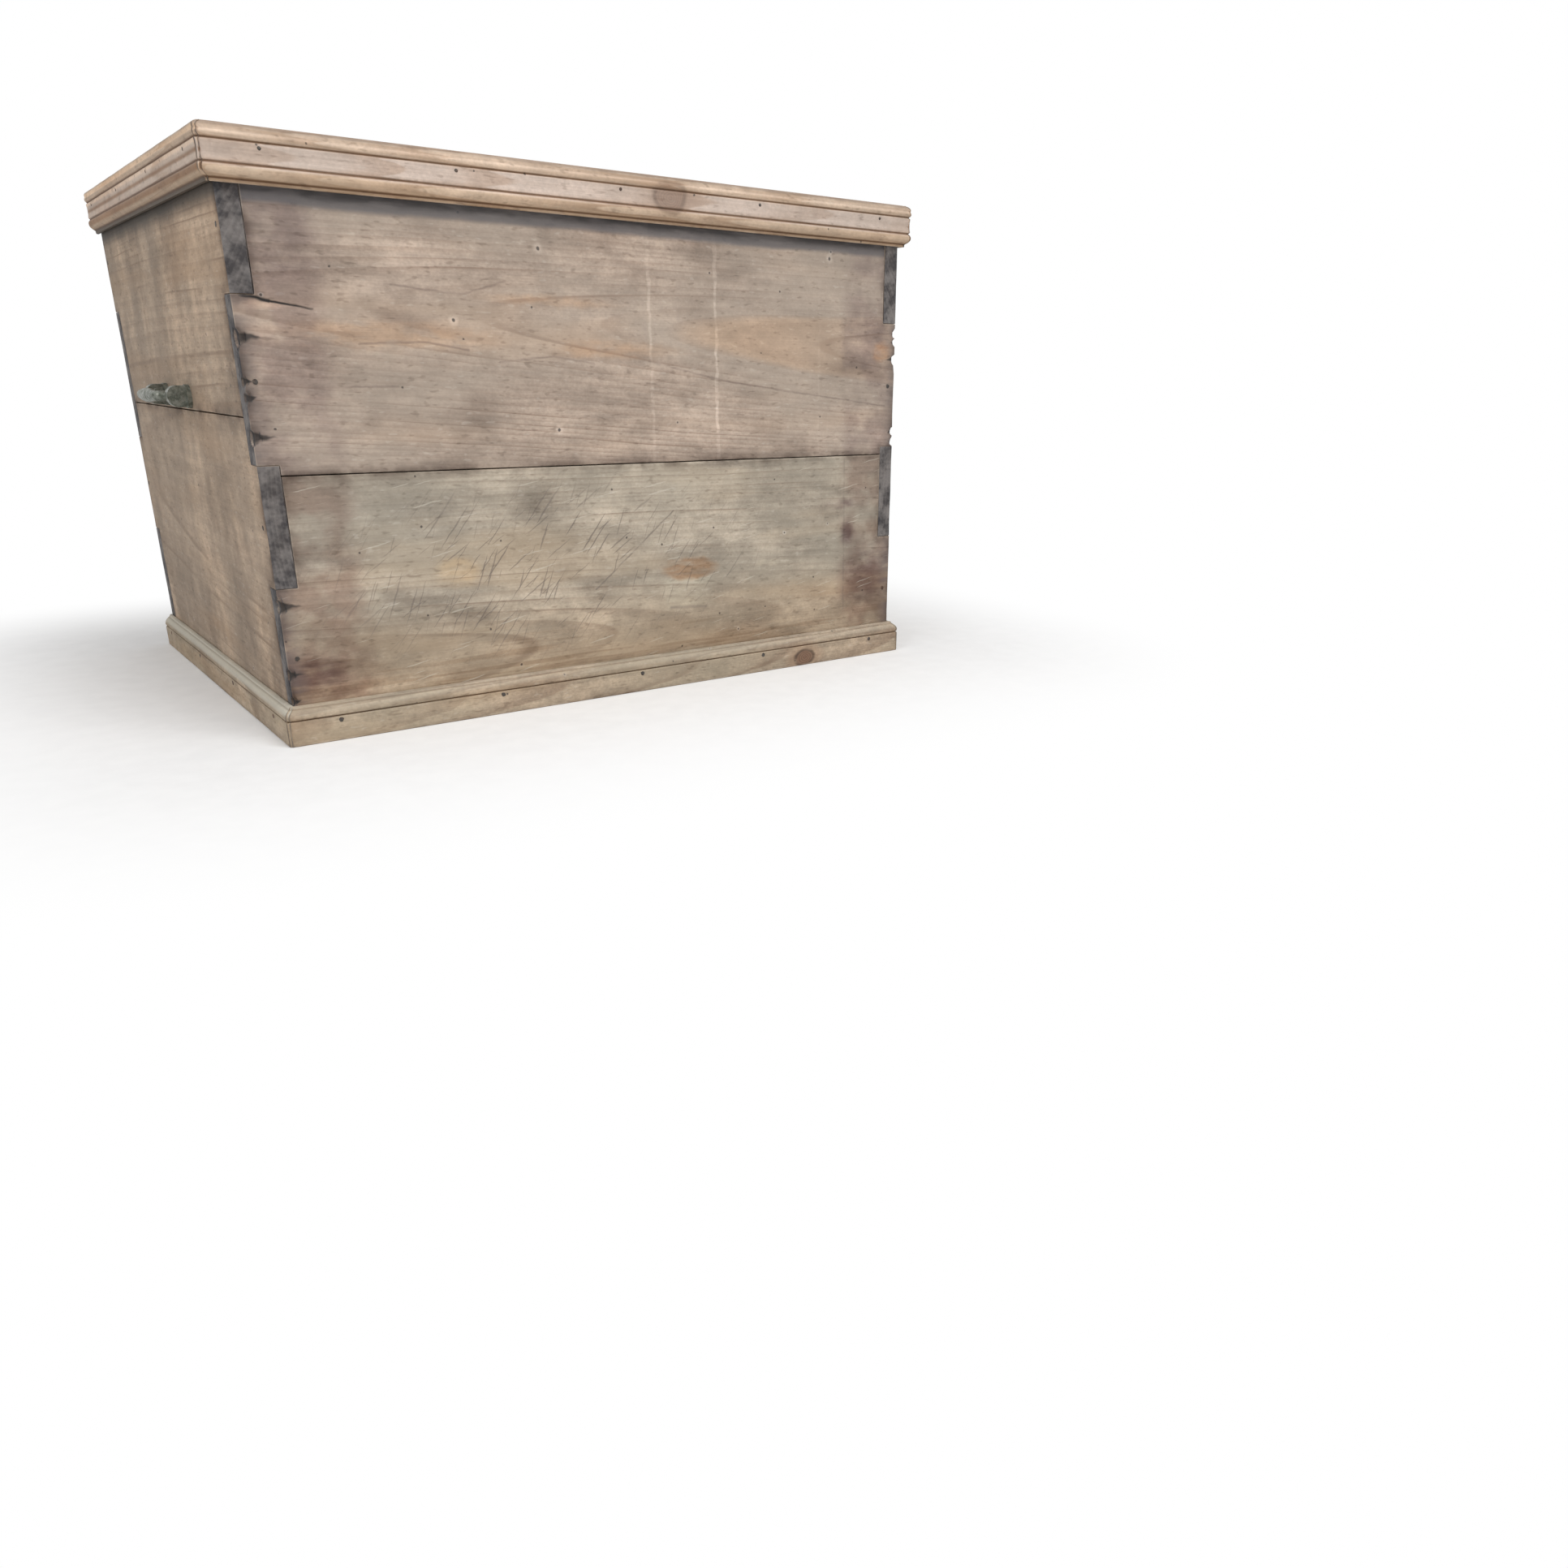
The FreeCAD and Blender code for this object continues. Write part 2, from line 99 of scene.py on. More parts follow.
# Grid of the worn boards: its spacing, the lines beside an edge that let it be rounded, and the least gaps
GRID_STEP = 0.009
RIM_STEPS = (0.0004, 0.0009, 0.0016, 0.0028, 0.0048)
FINE_GAP = 0.0003
EVEN_GAP = 0.0015
ROUNDING = 1e-5

# Wear of the boards: turns of smoothing, its strength and limits, and how far in from an edge dirt reaches
SOFTEN_TURNS = 14
WEAR = 0.42
WEAR_LIMITS = (0.08, 0.9)
DIRT_REACH = 0.008

# Wood: a year's growth, the unsure edges of stains, drawn lines and stripes, and the tint of bruised wood
RING_WIDTH = 0.0045
RAGGED_EDGE = 0.006
TREMBLE = 0.002
STRIPE_EDGE = 0.0013
BRUISED = (1.5, 1.55, 1.6)

# Mouldings: spacing round the outline and along the strip, stations added near its ends, how much the
# grooves have deepened, and the share of the thickness behind them
OUTLINE_STEP = 0.0007
STATION_STEP = 0.007
END_STATIONS = (0.0015, 0.004)
RELIEF = 1.6
PLAIN_SHARE = 0.45

# Wood lost from the mouldings: all over, in dents, near the ends of a strip, and less near its back
STRIP_WEAR = 0.00028
DENT_DEPTH = 0.0016
END_FADE = 0.02
MITRE_LOSS = 0.0026
MITRE_REACH = 0.007
BACK_SHELTER = 0.003

# Nails: the head's rings as shares of its radius and height, and how far out the wood's face is sought
NAIL_SIDES = 10
NAIL_RADIUS = 0.0023
NAIL_PROUD = 0.0004
HEAD_RINGS = ((1.0, -1.4), (1.0, 0.1), (0.86, 0.72), (0.5, 0.95))
NAIL_SEARCH = 0.02

# Bites out of the front corners, as height and length, and the grid's lines through each, by its radius
CHIP_LINES = (-1.0, -0.7, -0.35, 0.0, 0.35, 0.7, 1.0)
LEFT_CHIPS = {0.352: 0.019, 0.317: 0.007, 0.304: 0.008, 0.272: 0.018}
RIGHT_CHIPS = {0.374: 0.006, 0.365: 0.006, 0.346: 0.012, 0.266: 0.008, 0.254: 0.006}
LOW_CHIPS = {0.127: 0.018, 0.065: 0.012, 0.040: 0.007}


def new_object(name, data):
    obj = bpy.data.objects.new(name, data)
    bpy.context.scene.collection.objects.link(obj)
    return obj


def add_piece(mesh, material, node):
    # A piece that stands for a node, moves with its body and has its mesh's name.
    mesh.materials.append(material)
    piece = new_object(mesh.name, mesh)
    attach(piece, frame["nodes"][node]["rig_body"])
    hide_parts(node)


def finish_nodes(word, material):
    # Nodes with a word in their names keep their own shape and get a better material.
    for name in frame["nodes"]:
        if word in name:
            for slot in frame["nodes"][name].material_slots:
                slot.material = material


# Shading helpers
class Value:
    """A node's output, to be reckoned with like a number."""

    def __init__(self, shading, socket):
        self.shading = shading
        self.socket = socket

    def __add__(self, other):
        return self.shading.math("ADD", self, other)

    def __sub__(self, other):
        return self.shading.math("SUBTRACT", self, other)

    def __mul__(self, other):
        return self.shading.math("MULTIPLY", self, other)

    def __truediv__(self, other):
        return self.shading.math("DIVIDE", self, other)

    def __abs__(self):
        return self.shading.math("ABSOLUTE", self)


class Shading:
    """The nodes of one material or world. Most methods add a node and give back its output.

    Colours are given as red, green and blue.
    """

    def __init__(self, owner):
        owner.use_nodes = True
        self.owner = owner
        self.tree = owner.node_tree
        self.tree.nodes.clear()

    def add(self, kind, inputs, output=0, **settings):
        node = self.tree.nodes.new("ShaderNode" + kind)
        for key, value in settings.items():
            setattr(node, key, value)
        for key, value in inputs.items():
            socket = node.inputs[key]
            if isinstance(value, Value):
                self.tree.links.new(value.socket, socket)
            elif socket.type == "RGBA":
                socket.default_value = (*value, 1)
            else:
                socket.default_value = value
        return Value(self, node.outputs[output])

    def math(self, operation, *values, clamp=False):
        return self.add("Math", dict(enumerate(values)), operation=operation, use_clamp=clamp)

    def vector(self, operation, *values):
        return self.add("VectorMath", dict(enumerate(values)), operation=operation)

    def measure(self, operation, *values):
        # A vector operation that gives one number.
        return self.add("VectorMath", dict(enumerate(values)), "Value", operation=operation)

    def length(self, value):
        return self.measure("LENGTH", value)

    def part(self, value, axis):
        return self.add("SeparateXYZ", {0: value}, axis)

    def ramp(self, value, low, high, bottom=0.0, top=1.0):
        return self.add("MapRange", {"Value": value, "From Min": low, "From Max": high,
                                     "To Min": bottom, "To Max": top}, interpolation_type="SMOOTHSTEP")

    def noise(self, place, scale, detail=2.0, roughness=0.5, output="Fac"):
        return self.add("TexNoise", {"Vector": place, "Scale": scale, "Detail": detail,
                                     "Roughness": roughness}, output)

    def mix(self, amount, first, second, blend="MIX"):
        return self.add("Mix", {0: amount, 6: first, 7: second}, 2, data_type="RGBA", blend_type=blend)

    def grey(self, value):
        return self.add("CombineColor", {0: value, 1: value, 2: value})

    def combine(self, x, y, z):
        return self.add("CombineXYZ", {0: x, 1: y, 2: z})

    def attribute(self, name):
        return self.add("Attribute", {}, "Fac", attribute_name=name)

    def output(self, shader, kind="Material"):
        node = self.tree.nodes.new("ShaderNodeOutput" + kind)
        self.tree.links.new(shader.socket, node.inputs["Surface"])
        return self.owner

    def surface(self, inputs):
        return self.output(self.add("BsdfPrincipled", inputs))

    def stroke(self, place, start, end, half_width, softness):
        # A mask that is 1 along a line from start to end and fades out at its sides.
        start = Vector((*start, 0.0))
        run = Vector((*end, 0.0)) - start
        offset = self.vector("SUBTRACT", place, start)
        reach = max(run.length_squared, 1e-12)
        share = self.math("DIVIDE", self.measure("DOT_PRODUCT", offset, run), reach, clamp=True)
        nearest = self.add("VectorMath", {0: run, "Scale": share}, operation="SCALE")
        distance = self.length(self.vector("SUBTRACT", offset, nearest))
        return self.ramp(distance, half_width + softness, max(half_width - softness, 0.0))


class Pine(Shading):
    """Old pine: growth rings about a slanting pith, fibres, stains, grime and dark end grain.

    grain and face are axes: the way the board runs, and the way its wide side looks. tones are its pale,
    dark and warm colours. pith is a place across and in depth, and its two slopes along the board.
    """

    def __init__(self, name, grain, face, seed, tones, pith, contrast=0.6, patchy=0.16, fine=1,
                 stretch=(4, 9)):
        super().__init__(bpy.data.materials.new(name))
        self.pale, self.dark, self.warm = tones
        self.pith = pith
        self.contrast, self.patchy, self.fine, self.stretch = contrast, patchy, fine, stretch
        place = self.add("TexCoord", {}, "Object")
        normal = self.add("TexCoord", {}, "Normal")
        across = 3 - grain - face
        self.along, self.across, self.depth = [self.part(place, axis) for axis in (grain, across, face)]
        self.facing, self.ends = [self.ramp(abs(self.part(normal, axis)), 0.5, 0.8)
                                  for axis in (face, grain)]
        self.flat = self.combine(self.along, self.across, 0)
        offset = Vector((3.1, 7.7, 5.3)) * seed
        self.place = self.vector("ADD", self.combine(self.along, self.across, self.depth), offset)
        shake = self.vector("SUBTRACT", self.noise(self.place, 90, 1, 0.6, "Color"), (0.5, 0.5, 0.5))
        self.shaky, self.tremble = [
            self.vector("ADD", self.flat, self.vector("MULTIPLY", shake, (amount, amount, 0)))
            for amount in (RAGGED_EDGE, TREMBLE)]
        self.outwards = abs(self.part(self.shaky, 0))
        patches = self.field(24, 90, 2, 0.65, 0.8)
        self.uneven = self.ramp(patches, 0.3, 0.6, 0.25, 1)

    def keep_to(self, node):
        # Marks stay on the outside of a front board and don't go through it.
        low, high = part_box(node)
        self.half_length = high.x
        self.skin = self.ramp(abs(self.depth - low.y), 0.006, 0.003)

    def field(self, along, across, detail, roughness, turn=0, zoom=1):
        # A noise stretched along the grain. A turn keeps the noise's own cells out of line with the board.
        place = self.vector("MULTIPLY", self.place, (along, across, across))
        if turn:
            place = self.add("VectorRotate", {"Vector": place, "Axis": (0.4, 0.5, 0.77), "Angle": turn})
        return self.noise(place, zoom, detail, roughness)

    def wander(self, along, across, amount, detail=1):
        # A signed drift of the grain, in metres.
        return (self.field(along, across, detail, 0.5) - 0.5) * amount

    def pushed_aside(self, knots):
        # Where the grain lies across the board, once each knot has pushed it apart.
        pushed = self.across
        self.masks = []
        for along, across, size, strength in knots:
            lengthwise = (self.along - along) * 0.75
            sideways = self.across - across
            wobble = self.wander(40, 40, size * 0.8)
            distance = self.length(self.combine(lengthwise, sideways, 0)) + wobble
            near = self.ramp(distance, size * 4, size * 0.5)
            side = sideways / (distance + size * 0.6)
            pushed = pushed + near * side * (-size * 1.1)
            self.masks.append((distance, size, strength))
        return pushed

    def rings(self, knots):
        # The growth rings, from 0 in spring wood to 1 in summer wood.
        middle, depth, middle_slope, depth_slope = self.pith
        sideways = self.pushed_aside(knots) + self.wander(1.4, 6, 0.016) + self.wander(7, 34, 0.004)
        inwards = self.depth + self.wander(1.1, 4, 0.012)
        from_middle = sideways - (self.along * middle_slope + middle)
        from_depth = inwards - (self.along * depth_slope + depth)
        radius = self.length(self.combine(from_middle, from_depth, 0))
        uneven = self.noise(self.combine(radius, 0, 0), 60, 1)
        turns = (uneven * 0.012 + radius) / RING_WIDTH
        phase = self.math("FRACT", turns)
        self.radius = radius
        self.late = self.ramp(phase, 0.25, 0.88) * self.ramp(phase, 1, 0.93)
        # Here and there one ring stands out as a thin dark line.
        which = self.math("FLOOR", turns) * 3.7
        chance = self.noise(self.combine(which, self.along * 3.5, 0), 1, 1)
        thin = self.ramp(phase, 0.74, 0.86) * self.ramp(phase, 0.99, 0.9)
        self.dark_lines = thin * self.ramp(chance, 0.52, 0.66)

    def build(self, knots=()):
        # The clean wood, before its marks.
        self.rings(knots)
        fibre = self.field(14, 620, 2, 0.65)
        streak = self.field(5, 120, 2, 0.6)
        band = self.field(1.6, 22, 2, 0.55)
        amount = self.late * self.ramp(band, 0.25, 0.7, 0.35, 1) * self.contrast
        tint = self.mix(amount, self.pale, self.dark)
        mottle = self.field(60, 80, 3, 0.65, 0.9)
        cloud = self.field(*self.stretch, 2, 0.6, 0.7, 3)
        speckle = self.field(330, 420, 1, 0.6)
        shade = 1
        for layer, swing in ((fibre, 0.1 * self.fine), (streak, 0.1 * self.fine),
                             (mottle, 0.18 * self.fine), (speckle, 0.1 * self.fine),
                             (band, 0.13), (cloud, self.patchy)):
            shade = self.ramp(layer, 0.25, 0.75, 1 - swing, 1 + swing) * shade
        tint = self.mix(1, tint, self.grey(shade), "MULTIPLY")
        warmth = self.ramp(self.field(3.4, 21, 2, 0.55), 0.48, 0.7)
        tint = self.mix(warmth * 0.5, tint, self.warm)
        self.tint = self.mix(self.dark_lines * 0.6, tint, self.dark)
        self.height = streak * 0.6 + fibre * 0.5
        self.fibre, self.streak, self.band = fibre, streak, band

    def knot(self, distance, size, strength):
        # A stained halo, a heart with rings of its own and a broken dark rim.
        self.paint(self.ramp(distance, size * 2.6, size * 0.9), 0.45 * strength, (0.30, 0.17, 0.10))
        turns = self.math("FRACT", distance / 0.0024)
        heart = self.mix(turns, (0.235, 0.13, 0.082), (0.085, 0.047, 0.032))
        self.paint(self.ramp(distance, size * 1.15, size * 0.7), 0.85 * strength, heart)
        rim = self.ramp(distance, size * 1.3, size) * self.ramp(distance, size * 0.7, size)
        self.paint(rim * self.uneven, 0.8 * strength, (0.06, 0.036, 0.026))

    def paint(self, mask, amount, tone, blend="MIX"):
        self.tint = self.mix(mask * amount, self.tint, tone, blend)

    def soak(self, mask, amount, tint):
        # A tint that soaks in, so that the grain still shows.
        self.paint(mask, amount, tint, "MULTIPLY")

    def lines(self, runs, half_width, amount, tone, depth=0):
        # Drawn, scratched or split lines, each through points on the face.
        mask = 0
        for points in runs:
            for start, end in zip(points, points[1:]):
                stroke = self.stroke(self.tremble, start, end, half_width, half_width * 0.9)
                mask = self.math("MAXIMUM", mask, stroke)
        mask = mask * self.skin
        if depth:
            self.sink(mask, depth)
        self.paint(mask * self.uneven, amount, tone)

    def area(self, middle, half_size, softness, shape="LENGTH"):
        # A mask with a ragged edge: an oval (LENGTH), a rectangle (MAXIMUM) or a diamond (ADD).
        offset = self.vector("SUBTRACT", self.shaky, Vector((*middle, 0)))
        offset = self.vector("DIVIDE", offset, Vector((*half_size, 1)))
        if shape == "LENGTH":
            distance = self.length(offset)
        else:
            distance = self.math(shape, *[abs(self.part(offset, axis)) for axis in (0, 1)])
        return self.ramp(distance, 1 + softness, 1 - softness) * self.skin

    def stain(self, middle, half_size, amount, tint, softness=0.5, shape="LENGTH"):
        # An uneven stain round a place.
        self.soak(self.area(middle, half_size, softness, shape) * self.uneven, amount, tint)

    def soiled_ends(self, reach, amount, tint):
        # Grime in patches on the last stretch of the board, out to each end.
        start = self.half_length - reach
        out = self.ramp(self.outwards, start - 0.012, start + 0.014)
        patches = self.ramp(self.field(30, 30, 2, 0.6, 0.9), 0.34, 0.6, 0.2, 1)
        self.soak(out * patches * self.skin, amount, tint)

    def soiled_corners(self, reach, tone):
        # Dirt down both corners of the chest.
        corner = self.ramp(self.outwards, self.half_length - reach, self.half_length + 0.001)
        self.paint(corner * self.uneven, 0.7, tone)

    def under_lid(self, start, full, covered=0):
        # A ragged band that starts and is full at two depths below the lid's edge, and fades behind it.
        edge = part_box("lid_moulding_front")[0].z
        ragged = self.across + self.wander(12, 12, 0.008, 3)
        below = self.ramp(ragged, edge - start, edge - full)
        return below * self.ramp(ragged, edge + 0.014, edge + covered)

    def stripe(self, low, high):
        # A mask along a whole strip, between two levels on it.
        above = self.ramp(self.level, low - STRIPE_EDGE, low + STRIPE_EDGE)
        return above * self.ramp(self.level, high + STRIPE_EDGE, high - STRIPE_EDGE)

    def ringed_hole(self, middle, radius):
        # A nail hole in a ring of pale bruised wood.
        distance = self.length(self.vector("SUBTRACT", self.tremble, Vector((*middle, 0))))
        ring = self.ramp(distance, radius * 4, radius) * self.skin
        self.soak(ring * self.uneven, 0.8, BRUISED)
        hole = self.ramp(distance, radius * 1.4, radius * 0.6) * self.skin
        self.paint(hole, 0.9, (0.07, 0.06, 0.055))

    def scratches(self, where, angle, length, share, amount, tone):
        # Fine scratches that all run about one way, on a share of the place given.
        turned = self.add("VectorRotate", {"Vector": self.tremble, "Angle": angle}, rotation_type="Z_AXIS")
        field = self.noise(self.vector("MULTIPLY", turned, (0.6 / length, 460, 0)), 1, 0)
        self.paint(self.ramp(field, 0.83 - share, 0.87 - share) * where, amount, tone)

    def sink(self, mask, amount):
        self.height = self.height - mask * amount

    def weather(self, grey, grey_amount, stain_amount):
        # Grey bloom and darker stains in soft patches.
        bloom = self.ramp(self.field(*self.stretch, 3, 0.6, 0.5), 0.38, 0.64)
        self.paint(bloom, grey_amount, grey)
        stain = self.field(*self.stretch, 3, 0.62, 1.1, 1.65)
        self.soak(self.ramp(stain, 0.52, 0.78), stain_amount, (0.42, 0.38, 0.36))
        speck = self.field(90, 260, 1, 0.7)
        self.soak(self.ramp(speck, 0.6, 0.76), 0.4, (0.40, 0.36, 0.33))
        self.paint(self.ramp(speck, 0.36, 0.24), 0.14, (0.72, 0.66, 0.58))
        for mask in self.masks:
            self.knot(*mask)

    def holes(self, per_metre, radius, share):
        # Worm and nail holes: small dark dots, some with a pale ring of bruised wood.
        cells = {"Vector": self.flat, "Scale": per_metre}
        distance, dye = [self.add("TexVoronoi", cells, output, voronoi_dimensions="2D")
                         for output in ("Distance", "Color")]
        chance = self.add("SeparateColor", {0: dye})
        ragged = distance / per_metre + self.wander(300, 300, radius * 1.4)
        chosen = self.ramp(chance, 1 - share, 1.02 - share) * self.facing
        dot = self.ramp(ragged, radius * 1.25, radius * 0.6) * chosen
        ring = self.ramp(ragged, radius * 2.8, radius * 1.4) * chosen
        ringed = ring * self.uneven * self.ramp(chance, 0.9, 0.93)
        self.paint(ringed, 0.4, (0.66, 0.60, 0.53))
        self.paint(dot, 0.85, (0.075, 0.062, 0.055))
        self.sink(dot, 1.6)

    def edges(self, grime, wear):
        # Dirt along the arrises, rubbed pale at the very edge (on the mouldings' ridges partly a painted
        # highlight), and painted shade with some dirt in the mouldings' grooves.
        rim = self.attribute("rim")
        patchy = self.field(26, 26, 3, 0.65, 0.6)
        dirt = self.ramp(rim, 0.12, 0.95) * self.ramp(patchy, 0.3, 0.62)
        self.soak(dirt, grime, (0.30, 0.26, 0.25))
        rubbed = self.ramp(rim, 0.82, 1) * self.ramp(patchy, 0.6, 0.36)
        self.paint(rubbed, wear, (0.60, 0.50, 0.40))
        # Painted shade, with some dirt, in the grooves of the mouldings
        self.soak(self.attribute("hollow"), 1, (0.32, 0.24, 0.18))

    def end_grain(self, dark, pale):
        # The ends of the fibres hold the dirt: slate dark, with the rings faint on it.
        pores = self.noise(self.place, 420, 2, 0.7)
        blotch = self.field(45, 45, 3, 0.65, 0.6)
        shade = self.late * 0.14 + pores * 0.5
        shade = shade + self.ramp(blotch, 0.36, 0.66, -0.32, 0.5)
        self.paint(self.ends, 0.93, self.mix(shade, dark, pale))

    def done(self, roughness=0.66):
        sheen = self.fibre * 0.12 - self.band * 0.16 + (roughness + 0.08)
        normal = self.add("Bump", {"Strength": 0.35, "Distance": 0.0011, "Height": self.height})
        return self.surface({"Base Color": self.tint, "Roughness": sheen, "Normal": normal,
                             "Specular IOR Level": 0.28})


# Mesh helpers
def noise_at(points, scale, offset=0.0):
    # A smooth value from about -1 to 1 at each point.
    shift = Vector((offset, offset * 1.7, offset * 2.3))
    return np.array([noise.noise(Vector(point) * scale + shift) for point in points])


def make_mesh(name, points, faces, **attributes):
    mesh = bpy.data.meshes.new(name)
    mesh.from_pydata([tuple(point) for point in points], [], [tuple(face) for face in faces])
    for key, values in attributes.items():
        layer = mesh.attributes.new(key, "FLOAT", "POINT")
        layer.data.foreach_set("value", np.asarray(values, np.float32))
    mesh.shade_smooth()
    return mesh


def grid_lines(low, high, breaks, fine=()):
    # Places of the grid's lines on one axis: close together beside each break, wide apart between.
    marks = sorted({round(value, 5) for value in (low, high, *breaks)
                    if low - ROUNDING < value < high + ROUNDING})
    fixed = set(marks)
    even = []
    for start, stop in zip(marks, marks[1:]):
        for rim in RIM_STEPS:
            if rim * 2.5 < stop - start:
                fixed.update((start + rim, stop - rim))
        count = max(1, round((stop - start) / GRID_STEP))
        even.extend(np.linspace(start, stop, count + 1)[1:-1])
    for value in fine:
        if low < value < high and min(abs(value - other) for other in fixed) > FINE_GAP:
            fixed.add(value)
    fixed = sorted(fixed)
    clear = [value for value in even if min(abs(value - other) for other in fixed) > EVEN_GAP]
    return np.array(sorted([*fixed, *clear]))


def grid_solid(lines, cuts):
    # A box of grid cells less the cuts, as points and outward quads.
    middles = [(line[1:] + line[:-1]) / 2 for line in lines]
    cells = np.stack(np.meshgrid(*middles, indexing="ij"), axis=-1)
    solid = np.ones(cells.shape[:3], bool)
    for low, high in cuts:
        solid &= ~np.all((cells > np.array(low)) & (cells < np.array(high)), axis=-1)
    padded = np.pad(solid, 1)
    count = [len(line) for line in lines]
    faces = []
    for axis in range(3):
        order = [axis, (axis + 1) % 3, (axis + 2) % 3]
        for side in (0, 1):
            beside = np.roll(padded, 1 - 2 * side, axis)[1:-1, 1:-1, 1:-1]
            where = np.argwhere(solid & ~beside)
            turn = ((0, 0), (1, 0), (1, 1), (0, 1)) if side else ((0, 0), (0, 1), (1, 1), (1, 0))
            corners = []
            for steps in turn:
                step = np.zeros(3, int)
                step[order] = side, *steps
                corners.append(np.ravel_multi_index((where + step).T, count))
            faces.append(np.stack(corners, axis=1))
    faces = np.concatenate(faces)
    used, faces = np.unique(faces, return_inverse=True)
    points = np.stack(np.meshgrid(*lines, indexing="ij"), axis=-1).reshape(-1, 3)[used]
    return points, faces.reshape(-1, 4)


def soften(points, faces, strength):
    # Wears the edges round. A flat face stays as it is, because pulls on it cancel.
    pairs = np.concatenate([faces[:, [side, (side + 1) % 4]] for side in range(4)])
    first, second = np.unique(np.sort(pairs, axis=1), axis=0).T
    weight = 1.0 / np.maximum(np.linalg.norm(points[first] - points[second], axis=1), 1e-6)
    count = len(points)
    total = np.bincount(first, weight, count) + np.bincount(second, weight, count)
    for _ in range(SOFTEN_TURNS):
        step = (points[second] - points[first]) * weight[:, None]
        pull = np.stack([np.bincount(first, part, count) - np.bincount(second, part, count)
                         for part in step.T], axis=1)
        points = points + (strength / total)[:, None] * pull
    return points


def edge_distance(points, faces):
    # How far each point is from the nearest edge of the unworn board.
    corners = points[faces]
    normals = np.cross(corners[:, 1] - corners[:, 0], corners[:, 3] - corners[:, 0])
    normals /= np.linalg.norm(normals, axis=1, keepdims=True)
    total = np.zeros_like(points)
    meets = np.bincount(faces.ravel(), minlength=len(points))
    for side in range(4):
        np.add.at(total, faces[:, side], normals)
    on_edge = np.linalg.norm(total, axis=1) < meets - 0.5
    tree = KDTree(int(on_edge.sum()))
    for index, point in enumerate(points[on_edge]):
        tree.insert(Vector(point), index)
    tree.balance()
    return np.array([tree.find(Vector(point))[2] for point in points])


def worn_board(node, cuts, chips=()):
    # A board with its edges worn round unevenly and bites out of its corners.
    low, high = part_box(node)
    lines = []
    for axis in range(3):
        breaks = [corner[axis] for cut in cuts for corner in cut]
        fine = [centre[axis] + radius * share for centre, radius, _ in chips for share in CHIP_LINES]
        lines.append(grid_lines(low[axis], high[axis], breaks, fine))
    points, faces = grid_solid(lines, cuts)
    from_edge = edge_distance(points, faces)
    uneven = noise_at(points, 22.0) + 0.5 * noise_at(points, 70.0, 4.0)
    points = soften(points, faces, np.clip(WEAR + WEAR * uneven, *WEAR_LIMITS))
    for centre, radius, depth in chips:
        gap = np.linalg.norm(points - np.array(centre), axis=1) / radius
        near = gap < 2.0
        gap = gap[near] * (1.0 + 0.35 * noise_at(points[near], 260.0, 2.0))
        points[near] += (np.clip(1.4 - 1.4 * gap ** 2, 0.0, 1.0) ** 0.7)[:, None] * np.array(depth)
    return make_mesh(node + "_worn", points, faces, rim=np.exp(-from_edge / DIRT_REACH))


def low_side_span(node, axis):
    # The heights between which a node reaches out to its low side on an axis.
    low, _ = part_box(node)
    heights = [vertex.co.z for vertex in frame["nodes"][node].data.vertices
               if abs(vertex.co[axis] - low[axis]) < ROUNDING]
    return min(heights), max(heights)


def finger_cuts(node, axis):
    # The notches at both ends of a wall board that the other wall's fingers fill.
    low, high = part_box(node)
    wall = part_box("front_lower_board")
    thickness = wall[1].y - wall[0].y
    bottom, top = low_side_span(node, axis)
    cuts = []
    for inner, outer in ((low[axis] - 1, low[axis] + thickness), (high[axis] - thickness, high[axis] + 1)):
        for start, stop in ((low.z - 1, bottom), (top, high.z + 1)):
            corner, opposite = low - Vector((1, 1, 1)), high + Vector((1, 1, 1))
            corner[axis], opposite[axis] = inner, outer
            corner.z, opposite.z = start, stop
            cuts.append((corner, opposite))
    return cuts


def leaf_cuts(half):
    # The recesses that the hinge leaves lie in.
    cuts = []
    for side in ("left", "right"):
        node = "%s_hinge_%s_leaf" % (side, half)
        low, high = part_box(node)
        bottom, top = low_side_span(node, ALONG_Y)
        cuts.append((Vector((low.x, low.y, bottom)), Vector((high.x, high.y + 1, top))))
    return cuts


def welded(node):
    # A node's own shape with its corners joined up.
    solid = bmesh.new()
    solid.from_mesh(frame["nodes"][node].data)
    bmesh.ops.remove_doubles(solid, verts=solid.verts, dist=ROUNDING)
    return solid


def section(node):
    # The outline of a node halfway between the chest's front and back, as points in order.
    solid = welded(node)
    parts = [*solid.verts, *solid.edges, *solid.faces]
    cut = bmesh.ops.bisect_plane(solid, geom=parts, plane_co=(0, 0, 0), plane_no=(0, 1, 0))["geom_cut"]
    edges = {part for part in cut if isinstance(part, bmesh.types.BMEdge)}
    edge = edges.pop()
    outline = [edge.verts[0].co.copy()]
    vertex = edge.verts[1]
    while edge is not None:
        outline.append(vertex.co.copy())
        edge = next((other for other in vertex.link_edges if other in edges), None)
        if edge is not None:
            edges.discard(edge)
            vertex = edge.other_vert(vertex)
    solid.free()
    return outline


def smoothed(values, turns):
    # Values round a closed outline, each drawn towards those beside it.
    for _ in range(turns):
        values = (np.roll(values, 1, axis=0) + 2 * values + np.roll(values, -1, axis=0)) / 4
    return values


